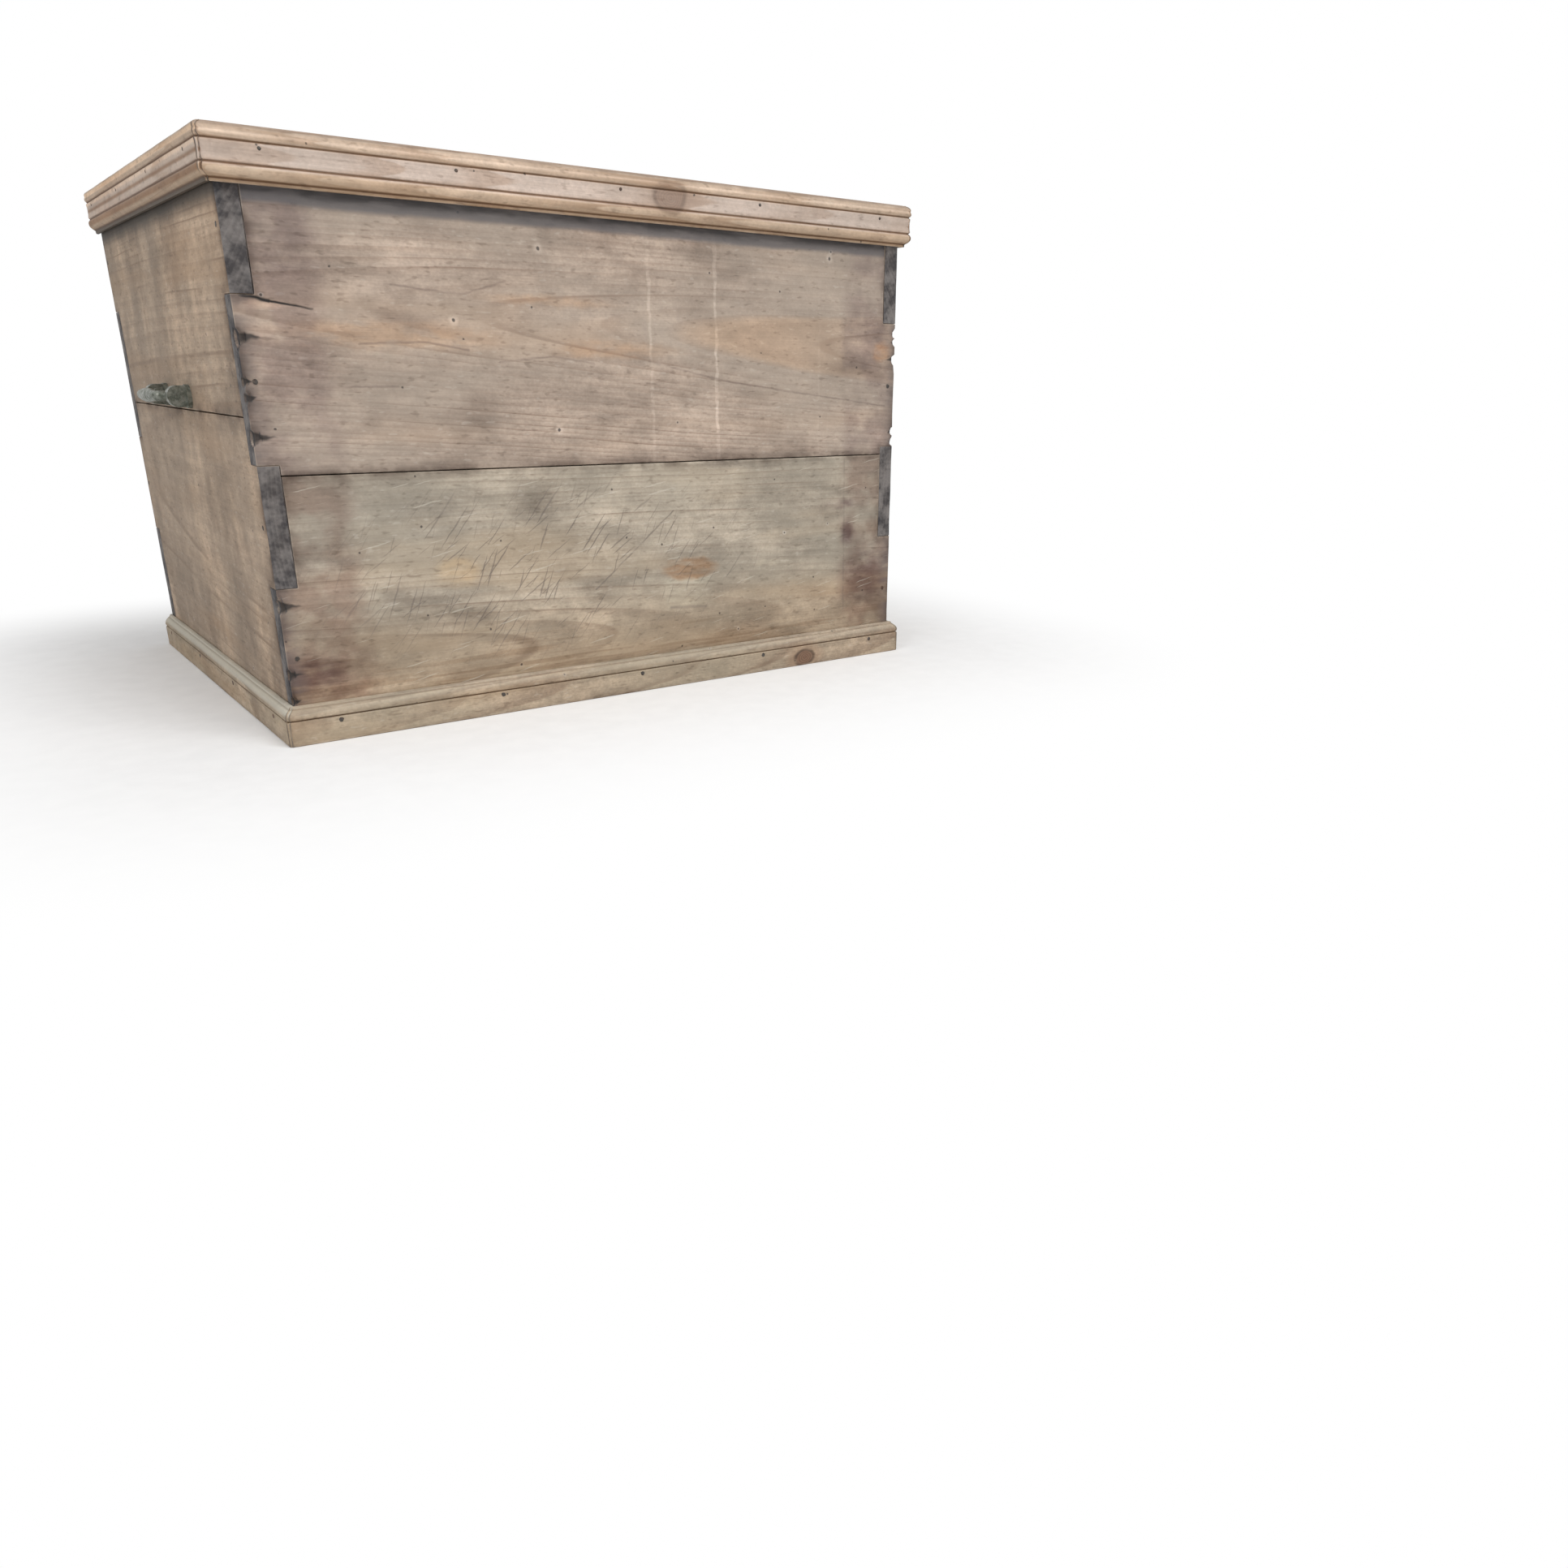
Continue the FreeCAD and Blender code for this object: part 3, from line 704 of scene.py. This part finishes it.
def even_outline(outline):
    # Points at even distances round a closed outline, as distance outwards and height.
    points = np.array([(point.x, point.z) for point in outline])
    points[:, 0] -= points[:, 0].min()
    steps = np.linalg.norm(np.diff(points, axis=0), axis=1)
    travelled = np.concatenate([[0.0], np.cumsum(steps)])
    places = np.linspace(0.0, travelled[-1], round(travelled[-1] / OUTLINE_STEP), endpoint=False)
    even = np.stack([np.interp(places, travelled, points[:, side]) for side in (0, 1)], axis=1)
    outer = even[:, 0].max()
    plain = outer * PLAIN_SHARE
    front = even[:, 0] > plain
    even[front, 0] = np.maximum(outer - (outer - even[front, 0]) * RELIEF, plain)
    even = smoothed(even, 2)
    after = np.roll(even, -1, axis=0)
    area = np.sum(even[:, 0] * after[:, 1] - after[:, 0] * even[:, 1])
    return even if area > 0 else even[::-1]


def bending(outline, reach):
    # How sharply the outline turns at each point: above 0 on a ridge, below 0 in a groove.
    before = outline - np.roll(outline, reach, axis=0)
    after = np.roll(outline, -reach, axis=0) - outline
    cross = before[:, 0] * after[:, 1] - before[:, 1] * after[:, 0]
    return cross / (np.linalg.norm(before, axis=1) * np.linalg.norm(after, axis=1))


def strip_mesh(name, outline, along, outward, foot, begin, end):
    # A moulding run along a line. begin and end give where it stops, by distance outwards.
    length = end(0.0) - begin(0.0)
    count = max(2, round(length / STATION_STEP))
    shares = np.unique([*np.linspace(0, 1, count), *END_STATIONS, *(1 - share for share in END_STATIONS)])
    turn = smoothed(bending(outline, 3), 9)
    points, rims, hollows = [], [], []
    for share in shares:
        ends = min(share, 1.0 - share) * length
        fade = min(ends / END_FADE, 1.0)
        for (out, height), bend in zip(outline, turn):
            run = begin(out) + (end(out) - begin(out)) * share
            spot = foot + along * run + outward * out
            spot.z = height
            worn = 0.5 + noise.noise(spot * 28.0) + 0.5 * noise.noise(spot * 90.0)
            nick = max(0.0, noise.noise(spot * 46.0 + Vector((9.0, 2.0, 5.0))) - 0.42)
            loss = fade * (STRIP_WEAR * worn + DENT_DEPTH * nick) * min(out / BACK_SHELTER, 1.0)
            mitre = max(0.0, 1.0 - ends / MITRE_REACH) ** 2 * min(out / (2 * BACK_SHELTER), 1.0)
            points.append(spot - outward * (max(loss, 0.0) + MITRE_LOSS * mitre))
            rims.append(min(1.0, max(0.0, bend) * 2.2))
            hollows.append(min(1.0, max(0.0, -bend - 0.03) * 4.5))
    around = len(outline)
    faces = []
    for station in range(len(shares) - 1):
        for place in range(around):
            after = (place + 1) % around
            start = station * around
            faces.append((start + place, start + after, start + around + after, start + around + place))
    last = (len(shares) - 1) * around
    faces.append(tuple(range(around)))
    faces.append(tuple(range(last, last + around)))
    mesh = make_mesh(name, points, faces, rim=rims, hollow=hollows)
    solid = bmesh.new()
    solid.from_mesh(mesh)
    bmesh.ops.recalc_face_normals(solid, faces=solid.faces)
    for face in solid.faces[-2:]:
        face.smooth = False
    solid.to_mesh(mesh)
    solid.free()
    return mesh


def make_strips(kind, front_pine, side_pine):
    # The three strips of a moulding, mitred at the front corners.
    right_low, right_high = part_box(kind + "_right")
    front_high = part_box(kind + "_front")[1]
    inner_half, inner_front, back = right_low.x, front_high.y, right_high.y
    outline = even_outline(section(kind + "_right"))
    across, deep = Vector((1, 0, 0)), Vector((0, 1, 0))
    runs = [("front", front_pine, across, -deep, Vector((0, inner_front, 0)),
             lambda out: -inner_half - out, lambda out: inner_half + out)]
    for side, sign in (("left", -1), ("right", 1)):
        runs.append((side, side_pine, deep, across * sign, Vector((inner_half * sign, 0, 0)),
                     lambda out: inner_front - out, lambda out: back))
    for side, material, along, outward, foot, begin, end in runs:
        node = "%s_%s" % (kind, side)
        mesh = strip_mesh(node + "_worn", outline, along, outward, foot, begin, end)
        add_piece(mesh, material, node)


def loose_parts(node):
    # The separate solids of a node, each as its points.
    solid = welded(node)
    left = set(solid.verts)
    parts = []
    while left:
        reached = [left.pop()]
        places = []
        while reached:
            vertex = reached.pop()
            places.append(vertex.co.copy())
            for edge in vertex.link_edges:
                other = edge.other_vert(vertex)
                if other in left:
                    left.discard(other)
                    reached.append(other)
        parts.append(np.array(places))
    solid.free()
    return parts


def nail_axis(places):
    # Which way a nail points, out of its head, and the middle of its head's face.
    low, high = places.min(axis=0), places.max(axis=0)
    axis = int(np.argmax(high - low))
    wide = np.abs(places - places.mean(axis=0))
    wide[:, axis] = 0
    head = places[wide.max(axis=1) > wide.max() * 0.9]
    sign = 1.0 if head[:, axis].mean() > places[:, axis].mean() else -1.0
    outward = Vector((0, 0, 0))
    outward[axis] = sign
    middle = Vector((low + high) / 2)
    middle[axis] = (high if sign > 0 else low)[axis]
    return outward, middle


def nail_heads(name, node, radius, proud):
    # Hammered heads, each a little different, standing just proud of the wood they hold.
    wood = [piece for piece in bpy.data.objects if piece.name.endswith("_worn")]
    trees = [BVHTree.FromPolygons([vertex.co for vertex in piece.data.vertices],
                                  [face.vertices for face in piece.data.polygons]) for piece in wood]
    points, faces = [], []
    for places in loose_parts(node):
        outward, middle = nail_axis(places)
        hits = [tree.ray_cast(middle + outward * NAIL_SEARCH, -outward)[0] for tree in trees]
        near = [hit for hit in hits if hit is not None]
        middle = max(near, key=lambda hit: hit.dot(outward))
        side = outward.orthogonal().normalized()
        other = outward.cross(side)
        start = len(points)
        for share, rise in HEAD_RINGS:
            for step in range(NAIL_SIDES):
                angle = step * 2 * math.pi / NAIL_SIDES
                spread = side * math.cos(angle) + other * math.sin(angle)
                uneven = 1.0 + 0.22 * noise.noise(middle * 800 + spread * 1.3)
                points.append(middle + spread * radius * share * uneven + outward * proud * rise)
        points.append(middle + outward * proud)
        for below in range(start, len(points) - 1 - NAIL_SIDES, NAIL_SIDES):
            above = below + NAIL_SIDES
            for step in range(NAIL_SIDES):
                after = (step + 1) % NAIL_SIDES
                faces.append((below + step, below + after, above + after, above + step))
        for step in range(NAIL_SIDES):
            faces.append((above + step, above + (step + 1) % NAIL_SIDES, len(points) - 1))
    return make_mesh(name, points, faces)


# Stage
def make_camera():
    data = bpy.data.cameras.new("camera")
    data.sensor_width = SENSOR_WIDTH
    data.lens = SENSOR_WIDTH * FOCAL_PIXELS / IMAGE_SIDE
    data.shift_x, data.shift_y = CAMERA_SHIFT
    data.clip_start = 0.01
    camera = new_object("camera", data)
    camera.matrix_world = (Matrix.Translation(CAMERA_PLACE) @ Matrix.Rotation(-CAMERA_YAW, 4, "Z")
                           @ Matrix.Rotation(math.pi / 2 - CAMERA_PITCH, 4, "X")
                           @ Matrix.Rotation(CAMERA_ROLL, 4, "Z"))
    bpy.context.scene.camera = camera


def seen_directly(shading):
    # 1 for rays from the camera, and for those that a mirror or glass sends on.
    camera, mirror, glass = [shading.add("LightPath", {}, "Is %s Ray" % kind)
                             for kind in ("Camera", "Glossy", "Transmission")]
    return shading.math("MAXIMUM", shading.math("MAXIMUM", camera, mirror), glass)


def make_world():
    # White where it is seen directly, and dimmer as a light.
    world = bpy.data.worlds.new("studio")
    shading = Shading(world)
    level = shading.ramp(seen_directly(shading), 0.0, 1.0, ROOM_LIGHT, 1.0)
    shading.output(shading.add("Background", {"Color": (1, 1, 1), "Strength": level}), "World")
    bpy.context.scene.world = world


def make_lamp(name, place, size, energy):
    data = bpy.data.lights.new(name, "AREA")
    data.energy = energy
    data.size = size
    lamp = new_object(name, data)
    lamp.location = place
    lamp.rotation_euler = (LAMP_AIM - Vector(place)).to_track_quat("-Z", "Y").to_euler()


def make_floor():
    # Pale near the chest, where it takes the shadow, and white further out.
    shading = Shading(bpy.data.materials.new("studio_floor"))
    place = shading.add("TexCoord", {}, "Object")
    beyond = shading.vector("SUBTRACT", shading.vector("ABSOLUTE", place), cad_bounds[1])
    distance = shading.length(shading.vector("MAXIMUM", beyond, (0.0, 0.0, 0.0)))
    grain = shading.noise(place, 40.0, 4.0)
    shade = shading.grey(shading.ramp(grain, 0.2, 0.8, 0.9, 0.94))
    paper = shading.add("BsdfDiffuse", {"Color": shade})
    white = shading.add("Emission", {"Color": (1, 1, 1), "Strength": 1.0})
    amount = shading.ramp(distance, 0.0, FLOOR_FADE) * seen_directly(shading)
    shading.output(shading.add("MixShader", {0: amount, 1: paper, 2: white}))
    mesh = bpy.data.meshes.new("floor")
    corners = [(x * FLOOR_REACH, y * FLOOR_REACH, 0) for x, y in ((-1, -1), (1, -1), (1, 1), (-1, 1))]
    mesh.from_pydata(corners, [], [(0, 1, 2, 3)])
    mesh.materials.append(shading.owner)
    new_object("floor", mesh)


# The pieces and their materials. Marks are placed one by one: metres along a board and up from the floor.
def wall_pine(name, grain, face, seed, tones, pith, grey, contrast=0.42, patchy=0.2, fine=0.66, **more):
    pine = Pine(name, grain, face, seed, tones, pith, contrast, patchy, fine, **more)
    pine.build()
    pine.weather(grey, 0.5, 0.6)
    pine.holes(15, 0.0011, 0.5)
    return pine


def finish_wall(pine, chips=()):
    pine.edges(0.75, 0.3)
    pine.end_grain((0.032, 0.032, 0.037), (0.20, 0.185, 0.178))
    bitten = 0
    for side, bites in chips:
        for height, length in bites.items():
            half_size = (length, 0.0012 + length * 0.2)
            bite = pine.area((side * pine.half_length, height), half_size, 0.3, "ADD")
            bitten = pine.math("MAXIMUM", bitten, bite)
    if chips:
        pine.paint(bitten, 0.9, (0.035, 0.03, 0.028))
    return pine.done()


def front_upper_pine():
    node = "front_upper_board"
    tones = (0.418, 0.33, 0.264), (0.24, 0.165, 0.12), (0.45, 0.315, 0.215)
    pine = wall_pine("front_upper_pine", ALONG_X, ALONG_Y, 1, tones, (0.370, -0.213, -0.04, -0.0455),
                     (0.36, 0.305, 0.25))
    pine.keep_to(node)
    amber, dark = (1.17, 1.02, 0.88), (0.14, 0.10, 0.085)
    # The heart of the board shows as a flame that opens to the right.
    flame = pine.ramp(pine.radius, 0.0575, 0.0535)
    opened = pine.ramp(pine.along, 0.05, 0.075)
    faded = pine.ramp(pine.along, 0.36, 0.16, 0.35, 1)
    pine.soak(flame * opened * faded, 0.8, amber)
    # Warm bands
    pine.stain((-0.235, 0.357), (0.09, 0.0115), 0.9, amber, 0.6)
    pine.stain((-0.015, 0.349), (0.06, 0.007), 0.8, amber, 0.7)
    pine.stain((-0.075, 0.391), (0.055, 0.005), 0.8, amber, 0.7)
    # Dark grain lines
    pine.lines([[(-0.227, 0.398), (-0.163, 0.393), (-0.120, 0.406)],
                [(-0.260, 0.349), (-0.202, 0.352), (-0.161, 0.346)],
                [(-0.131, 0.336), (-0.077, 0.342), (-0.033, 0.336)],
                [(-0.303, 0.313), (-0.230, 0.314)],
                [(0.029, 0.339), (0.128, 0.320), (0.346, 0.295)]], 0.0009, 0.5, dark)
    # Pale lines worn across the board, from just above its lower edge
    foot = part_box(node)[0].z + 0.0026
    for along, top, amount in ((0.032, 0.452, 0.5), (0.111, 0.445, 0.8), (0.248, 0.42, 0.12)):
        middle = (foot + top) / 2
        pine.stain((along, middle), (0.0016, top - middle), amount, BRUISED, 0.6, "MAXIMUM")
    pine.soiled_ends(0.073, 0.9, (0.70, 0.67, 0.70))
    # Patches at the right end
    pine.stain((0.313, 0.361), (0.032, 0.026), 0.85, (0.74, 0.74, 0.78), 0.15, "MAXIMUM")
    pine.stain((0.340, 0.354), (0.013, 0.011), 1, (1.35, 1.1, 0.85), 0.35)
    for hole in ((-0.075, 0.274), (-0.085, 0.436), (0.261, 0.448), (-0.173, 0.371)):
        pine.ringed_hole(hole, 0.0016)
    # The split near the left corner, with broken wood beside it
    pine.stain((-0.336, 0.3775), (0.017, 0.003), 1, (1.45, 1.4, 1.35), 0.5)
    split = (0.025, 0.021, 0.019)
    pine.lines([[(-0.352, 0.3845), (-0.331, 0.3805)]], 0.0012, 1.2, split, 3)
    pine.lines([[(-0.331, 0.3805), (-0.296, 0.3755)]], 0.0007, 1.2, split, 3)
    # Grime near the upper left corner, painted shadow with grime under the lid, and dirt down the corners
    pine.stain((-0.325, 0.430), (0.045, 0.045), 0.9, (0.74, 0.72, 0.74), 0.6)
    # Painted shadow and grime just below the lid's edge, darkest right under it
    pine.paint(pine.under_lid(0.015, 0.0095) * pine.skin, 0.8, (0.115, 0.111, 0.117))
    deepest = pine.under_lid(0.011, 0.002) * pine.skin * pine.uneven
    pine.paint(deepest, 0.7, (0.035, 0.032, 0.033))
    pine.soiled_corners(0.020, (0.15, 0.125, 0.115))
    return finish_wall(pine, ((-1, LEFT_CHIPS), (1, RIGHT_CHIPS)))


def front_lower_pine():
    tones = (0.42, 0.36, 0.285), (0.25, 0.19, 0.14), (0.44, 0.335, 0.225)
    pine = wall_pine("front_lower_pine", ALONG_X, ALONG_Y, 2, tones, (0.06, -0.16, 0.02, 0.03),
                     (0.34, 0.305, 0.245), patchy=0.3)
    pine.keep_to("front_lower_board")
    dark, purple = (0.12, 0.095, 0.085), (0.5, 0.42, 0.46)
    # Browner towards the floor
    pine.soak(pine.ramp(pine.across, 0.14, 0.05), 0.9, (0.92, 0.82, 0.72))
    # Damp has raised the grain along the floor.
    raised = pine.ramp(pine.across, 0.10, 0.06) * pine.ramp(pine.streak, 0.5, 0.62)
    pine.soak(raised, 0.5, (0.58, 0.50, 0.43))
    pine.stain((-0.25, 0.165), (0.08, 0.06), 0.7, (1.12, 1.14, 1.17), 0.6)
    pine.soiled_ends(0.076, 0.9, (0.66, 0.57, 0.56))
    pine.lines([[(0.2865, 0.236), (0.2880, 0.060)]], 0.0012, 0.25, dark)
    pine.stain((-0.335, 0.062), (0.03, 0.018), 1, purple, 0.7)
    pine.stain((0.281, 0.186), (0.019, 0.005), 1.2, purple, 0.7)
    pine.stain((0.292, 0.151), (0.008, 0.012), 1.1, purple, 0.7)
    pine.stain((0.325, 0.096), (0.036, 0.030), 0.9, purple, 0.7)
    # A reddish knot scar with pale wood below it, and bare places
    pine.stain((0.071, 0.127), (0.033, 0.012), 1, (0.96, 0.73, 0.57), 0.25)
    pine.stain((0.069, 0.101), (0.029, 0.015), 1, (1.22, 1.27, 1.28), 0.3, "MAXIMUM")
    pine.lines([[(0.045, 0.086), (0.09, 0.083)]], 0.0016, 0.45, dark)
    pine.stain((-0.192, 0.145), (0.021, 0.014), 1, (1.2, 1.1, 0.96), 0.4)
    pine.stain((0.185, 0.125), (0.036, 0.003), 1, (1.4, 1.4, 1.38), 0.5)
    pine.lines([[(-0.045, 0.114), (0.052, 0.190)]], 0.0007, 0.6, dark)
    rubbed = pine.area((-0.08, 0.14), (0.22, 0.075), 0.5)
    pine.scratches(rubbed, -0.9, 0.04, 0.10, 0.6, dark)
    pine.scratches(rubbed, -0.6, 0.03, 0.09, 0.5, dark)
    pine.scratches(rubbed, -1.2, 0.03, 0.10, 0.5, dark)
    pine.scratches(pine.skin, -0.2, 0.03, 0.07, 0.35, (0.62, 0.57, 0.48))
    pine.soiled_corners(0.022, (0.15, 0.12, 0.115))
    return finish_wall(pine, [(-1, LOW_CHIPS)])


def end_pine():
    tones = (0.415, 0.31, 0.222), (0.22, 0.145, 0.095), (0.39, 0.255, 0.155)
    pine = wall_pine("end_pine", ALONG_Y, ALONG_X, 4, tones, (0.22, 0.02, 0.03, 0.02),
                     (0.25, 0.20, 0.155), contrast=0.3, patchy=0.34, fine=0.85, stretch=(6, 2.9))
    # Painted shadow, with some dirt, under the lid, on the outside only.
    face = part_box("right_end_upper_board")[1].x
    outside = pine.ramp(abs(pine.depth), face - 0.008, face - 0.003)
    pine.paint(pine.under_lid(0.020, 0.003, 0.002) * outside, 0.88, (0.03, 0.026, 0.022))
    return finish_wall(pine)


def edge_chips(bites, side):
    # Where a front corner's arris has lost wood: the place, its radius and which way it went.
    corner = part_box("front_upper_board")[0]
    chips = []
    for height, length in bites.items():
        radius = 0.0035 + length * 0.2
        loss = (-side * radius * 0.4, radius * 0.45, 0)
        chips.append(((side * abs(corner.x), corner.y, height), radius, loss))
    return chips


def make_walls():
    upper, lower = front_upper_pine(), front_lower_pine()
    tones = (0.41, 0.32, 0.24), (0.24, 0.16, 0.11), (0.43, 0.30, 0.19)
    back = finish_wall(wall_pine("back_pine", ALONG_X, ALONG_Y, 3, tones, (0.30, 0.16, 0.03, 0.04),
                                 (0.31, 0.27, 0.22)))
    ends = end_pine()
    chips = {"front_upper_board": edge_chips(LEFT_CHIPS, -1) + edge_chips(RIGHT_CHIPS, 1),
             "front_lower_board": edge_chips(LOW_CHIPS, -1)}
    walls = {"front": (lower, upper), "back": (back, back),
             "left_end": (ends, ends), "right_end": (ends, ends)}
    for wall, materials in walls.items():
        axis, slot = (ALONG_Y, "end_pine") if wall.endswith("end") else (ALONG_X, "wall_pine")
        for level, material in zip(("lower", "upper"), materials):
            node = "%s_%s_board" % (wall, level)
            cuts = finger_cuts(node, axis)
            if node == "back_upper_board":
                cuts += leaf_cuts("back")
            add_piece(worn_board(node, cuts, chips.get(node, ())), material, node)


def make_lid_boards():
    # Each board was sawn from another place in a tree, and two have knots.
    names = sorted(node for node in frame["nodes"] if node.startswith("lid_board"))
    knots = ([(-0.19, -0.13, 0.011, 1)], [(0.14, 0.05, 0.013, 1)], [])
    depths = (0.44, 0.30, 0.40)
    for index, (node, places, depth) in enumerate(zip(names, knots, depths)):
        low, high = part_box(node)
        light = 1 - 0.07 * index
        pale = (0.46 * light, 0.36 * light, 0.265 * light)
        pith = ((low.y + high.y) / 2 + 0.02 * index, depth, 0.05 - 0.04 * index, 0.03)
        pine = Pine(node + "_pine", ALONG_X, ALONG_Z, 5 + index * 10,
                    (pale, (0.27, 0.18, 0.12), (0.48, 0.33, 0.21)), pith)
        pine.build(places)
        pine.weather((0.40, 0.35, 0.28), 0.35, 0.4)
        pine.holes(13, 0.0011, 0.45)
        pine.edges(0.9, 0.3)
        pine.end_grain((0.12, 0.10, 0.09), (0.24, 0.19, 0.15))
        cuts = leaf_cuts("lid") if node == names[-1] else []
        add_piece(worn_board(node, cuts), pine.done(), node)


def strip_pines(kind, name, seed, tones, pith, knot, weathering, **more):
    # The wood of a moulding's front strip, which has a knot, and of its sides. Levels are from its foot.
    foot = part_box(kind + "_front")[0].z
    along, level, size, strength = knot
    front = Pine(name + "_pine", ALONG_X, ALONG_Y, seed, tones, (foot + pith, -0.22, 0.01, 0.03), **more)
    side = Pine(name + "_side_pine", ALONG_Y, ALONG_X, seed + 1, tones, (foot + pith, 0.30, 0.01, 0.02),
                **more)
    for pine, knots in ((front, [(along, foot + level, size, strength)]), (side, [])):
        pine.level = pine.across - foot
        pine.build(knots)
        pine.weather(*weathering)
        pine.holes(22, 0.0010, 0.5)
    return front, side


def make_mouldings():
    tones = (0.60, 0.475, 0.39), (0.40, 0.27, 0.19), (0.57, 0.41, 0.295)
    front, side = strip_pines("lid_moulding", "moulding", 6, tones, 0.024, (0.055, 0.023, 0.013, 0.5),
                              ((0.50, 0.41, 0.335), 0.3, 0.25), patchy=0.06, fine=0.6)
    honey = (0.90, 0.84, 0.72)
    for pine in (front, side):
        # Handling has turned the reeds honey brown; the darkening towards the underside of the torus is
        # painted shade.
        pine.soak(pine.ramp(pine.level, 0.0125, 0.0100), 0.9, honey)
        pine.soak(pine.ramp(pine.level, 0.0065, 0.0015), 0.9, (0.70, 0.64, 0.57))
        pine.soak(pine.ramp(pine.level, 0.0280, 0.0305), 0.7, honey)
        # Darker along the top edge
        pine.soak(pine.ramp(pine.level, 0.0375, 0.0400), 0.9, (0.62, 0.61, 0.62))
        pine.edges(0.2, 0.35)
        pine.end_grain((0.13, 0.10, 0.085), (0.26, 0.20, 0.15))
    # Painted shade across the broad band and a painted highlight on the bead below the top edge
    front.soak(front.stripe(0.0155, 0.0295), 1, (0.86, 0.88, 0.91))
    front.soak(front.stripe(0.0340, 0.0370), 1, (1.12, 1.14, 1.18))
    # On the ends the ridges get painted highlights and the hollows painted brown shade.
    for low, high in ((0.0340, 0.0382), (0.0260, 0.0290)):
        side.soak(side.stripe(low, high), 1, (1.4, 1.34, 1.25))
    for low, high in ((0.0195, 0.0225), (0.0065, 0.0125)):
        side.soak(side.stripe(low, high), 0.85, (0.52, 0.38, 0.27))
    # Painted shadow on the undercut fillet at the foot of the side strips
    side.paint(side.ramp(side.level, 0.0035, 0.0015), 0.85, (0.06, 0.05, 0.04))
    make_strips("lid_moulding", front.done(0.58), side.done(0.58))


def make_plinth():
    tones = (0.415, 0.325, 0.235), (0.21, 0.135, 0.09), (0.40, 0.275, 0.165)
    front, side = strip_pines("plinth", "plinth", 8, tones, 0.02, (0.222, 0.010, 0.010, 1),
                              ((0.37, 0.325, 0.24), 0.4, 0.5))
    # The upper edge is paler, on the ends more than on the front.
    for pine, paling in ((front, 0.15), (side, 0.7)):
        pine.paint(pine.ramp(pine.level, 0.027, 0.031), paling, (0.60, 0.575, 0.49))
        pine.edges(0.2, 0.3)
        pine.end_grain((0.12, 0.10, 0.085), (0.25, 0.20, 0.15))
    make_strips("plinth", front.done(), side.done())


def make_bottom():
    tones = (0.46, 0.36, 0.26), (0.27, 0.18, 0.125), (0.46, 0.31, 0.19)
    pine = Pine("bottom_pine", ALONG_X, ALONG_Z, 10, tones, (0.05, -0.10, 0.02, 0.03))
    pine.build()
    pine.weather((0.35, 0.30, 0.24), 0.4, 0.5)
    pine.holes(10, 0.0011, 0.4)
    finish_nodes("bottom_board", pine.done())


def metal(name, dark, pale, rust, rust_amount, roughness):
    # Old metal: a patchy skin of tarnish, rust in the pits and bare metal rubbed through.
    shading = Shading(bpy.data.materials.new(name))
    place = shading.add("TexCoord", {}, "Object")
    patch = shading.noise(place, 210, 5, 0.62)
    pits = shading.noise(place, 700, 4, 0.7)
    cloud = shading.noise(place, 70, 3, 0.6)
    tint = shading.mix(shading.ramp(patch, 0.32, 0.68), dark, pale)
    rusty = shading.ramp(cloud, 0.45, 0.7) * rust_amount
    tint = shading.mix(rusty, tint, rust)
    tint = shading.mix(shading.ramp(pits, 0.58, 0.75, 0, 0.5), tint, (0.03, 0.027, 0.023))
    shine = shading.ramp(patch, 0.3, 0.7, roughness + 0.14, roughness - 0.1)
    height = pits * 0.6 + patch * 0.6
    normal = shading.add("Bump", {"Strength": 0.4, "Distance": 0.0006, "Height": height})
    return shading.surface({"Base Color": tint, "Roughness": shine, "Metallic": 0.55, "Normal": normal})


def make_hardware():
    patina = metal("handle_patina", (0.09, 0.10, 0.078), (0.27, 0.28, 0.245),
                   (0.16, 0.15, 0.11), 0.4, 0.46)
    iron = metal("hinge_iron", (0.06, 0.056, 0.053), (0.11, 0.102, 0.095),
                 (0.15, 0.085, 0.055), 0.6, 0.55)
    nail = metal("nail_iron", (0.035, 0.03, 0.028), (0.10, 0.09, 0.08),
                 (0.16, 0.08, 0.045), 0.7, 0.6)
    finish_nodes("_handle_", patina)
    finish_nodes("hinge", iron)
    finish_nodes("bottom_nails", nail)
    for node, share in (("corner_nails", 1), ("plinth_nails", 1), ("lid_moulding_nails", 0.7)):
        heads = nail_heads(node + "_heads", node, NAIL_RADIUS * share, NAIL_PROUD * share)
        add_piece(heads, nail, node)


make_camera()
make_world()
make_lamp("key", (0.5, -2.4, 2.9), size=2.4, energy=72)
make_lamp("fill", (-2.6, -1.2, 2.2), size=2.0, energy=22)
make_floor()
make_walls()
make_lid_boards()
make_mouldings()
make_plinth()
make_bottom()
make_hardware()
bpy.context.scene.view_settings.view_transform = "Standard"
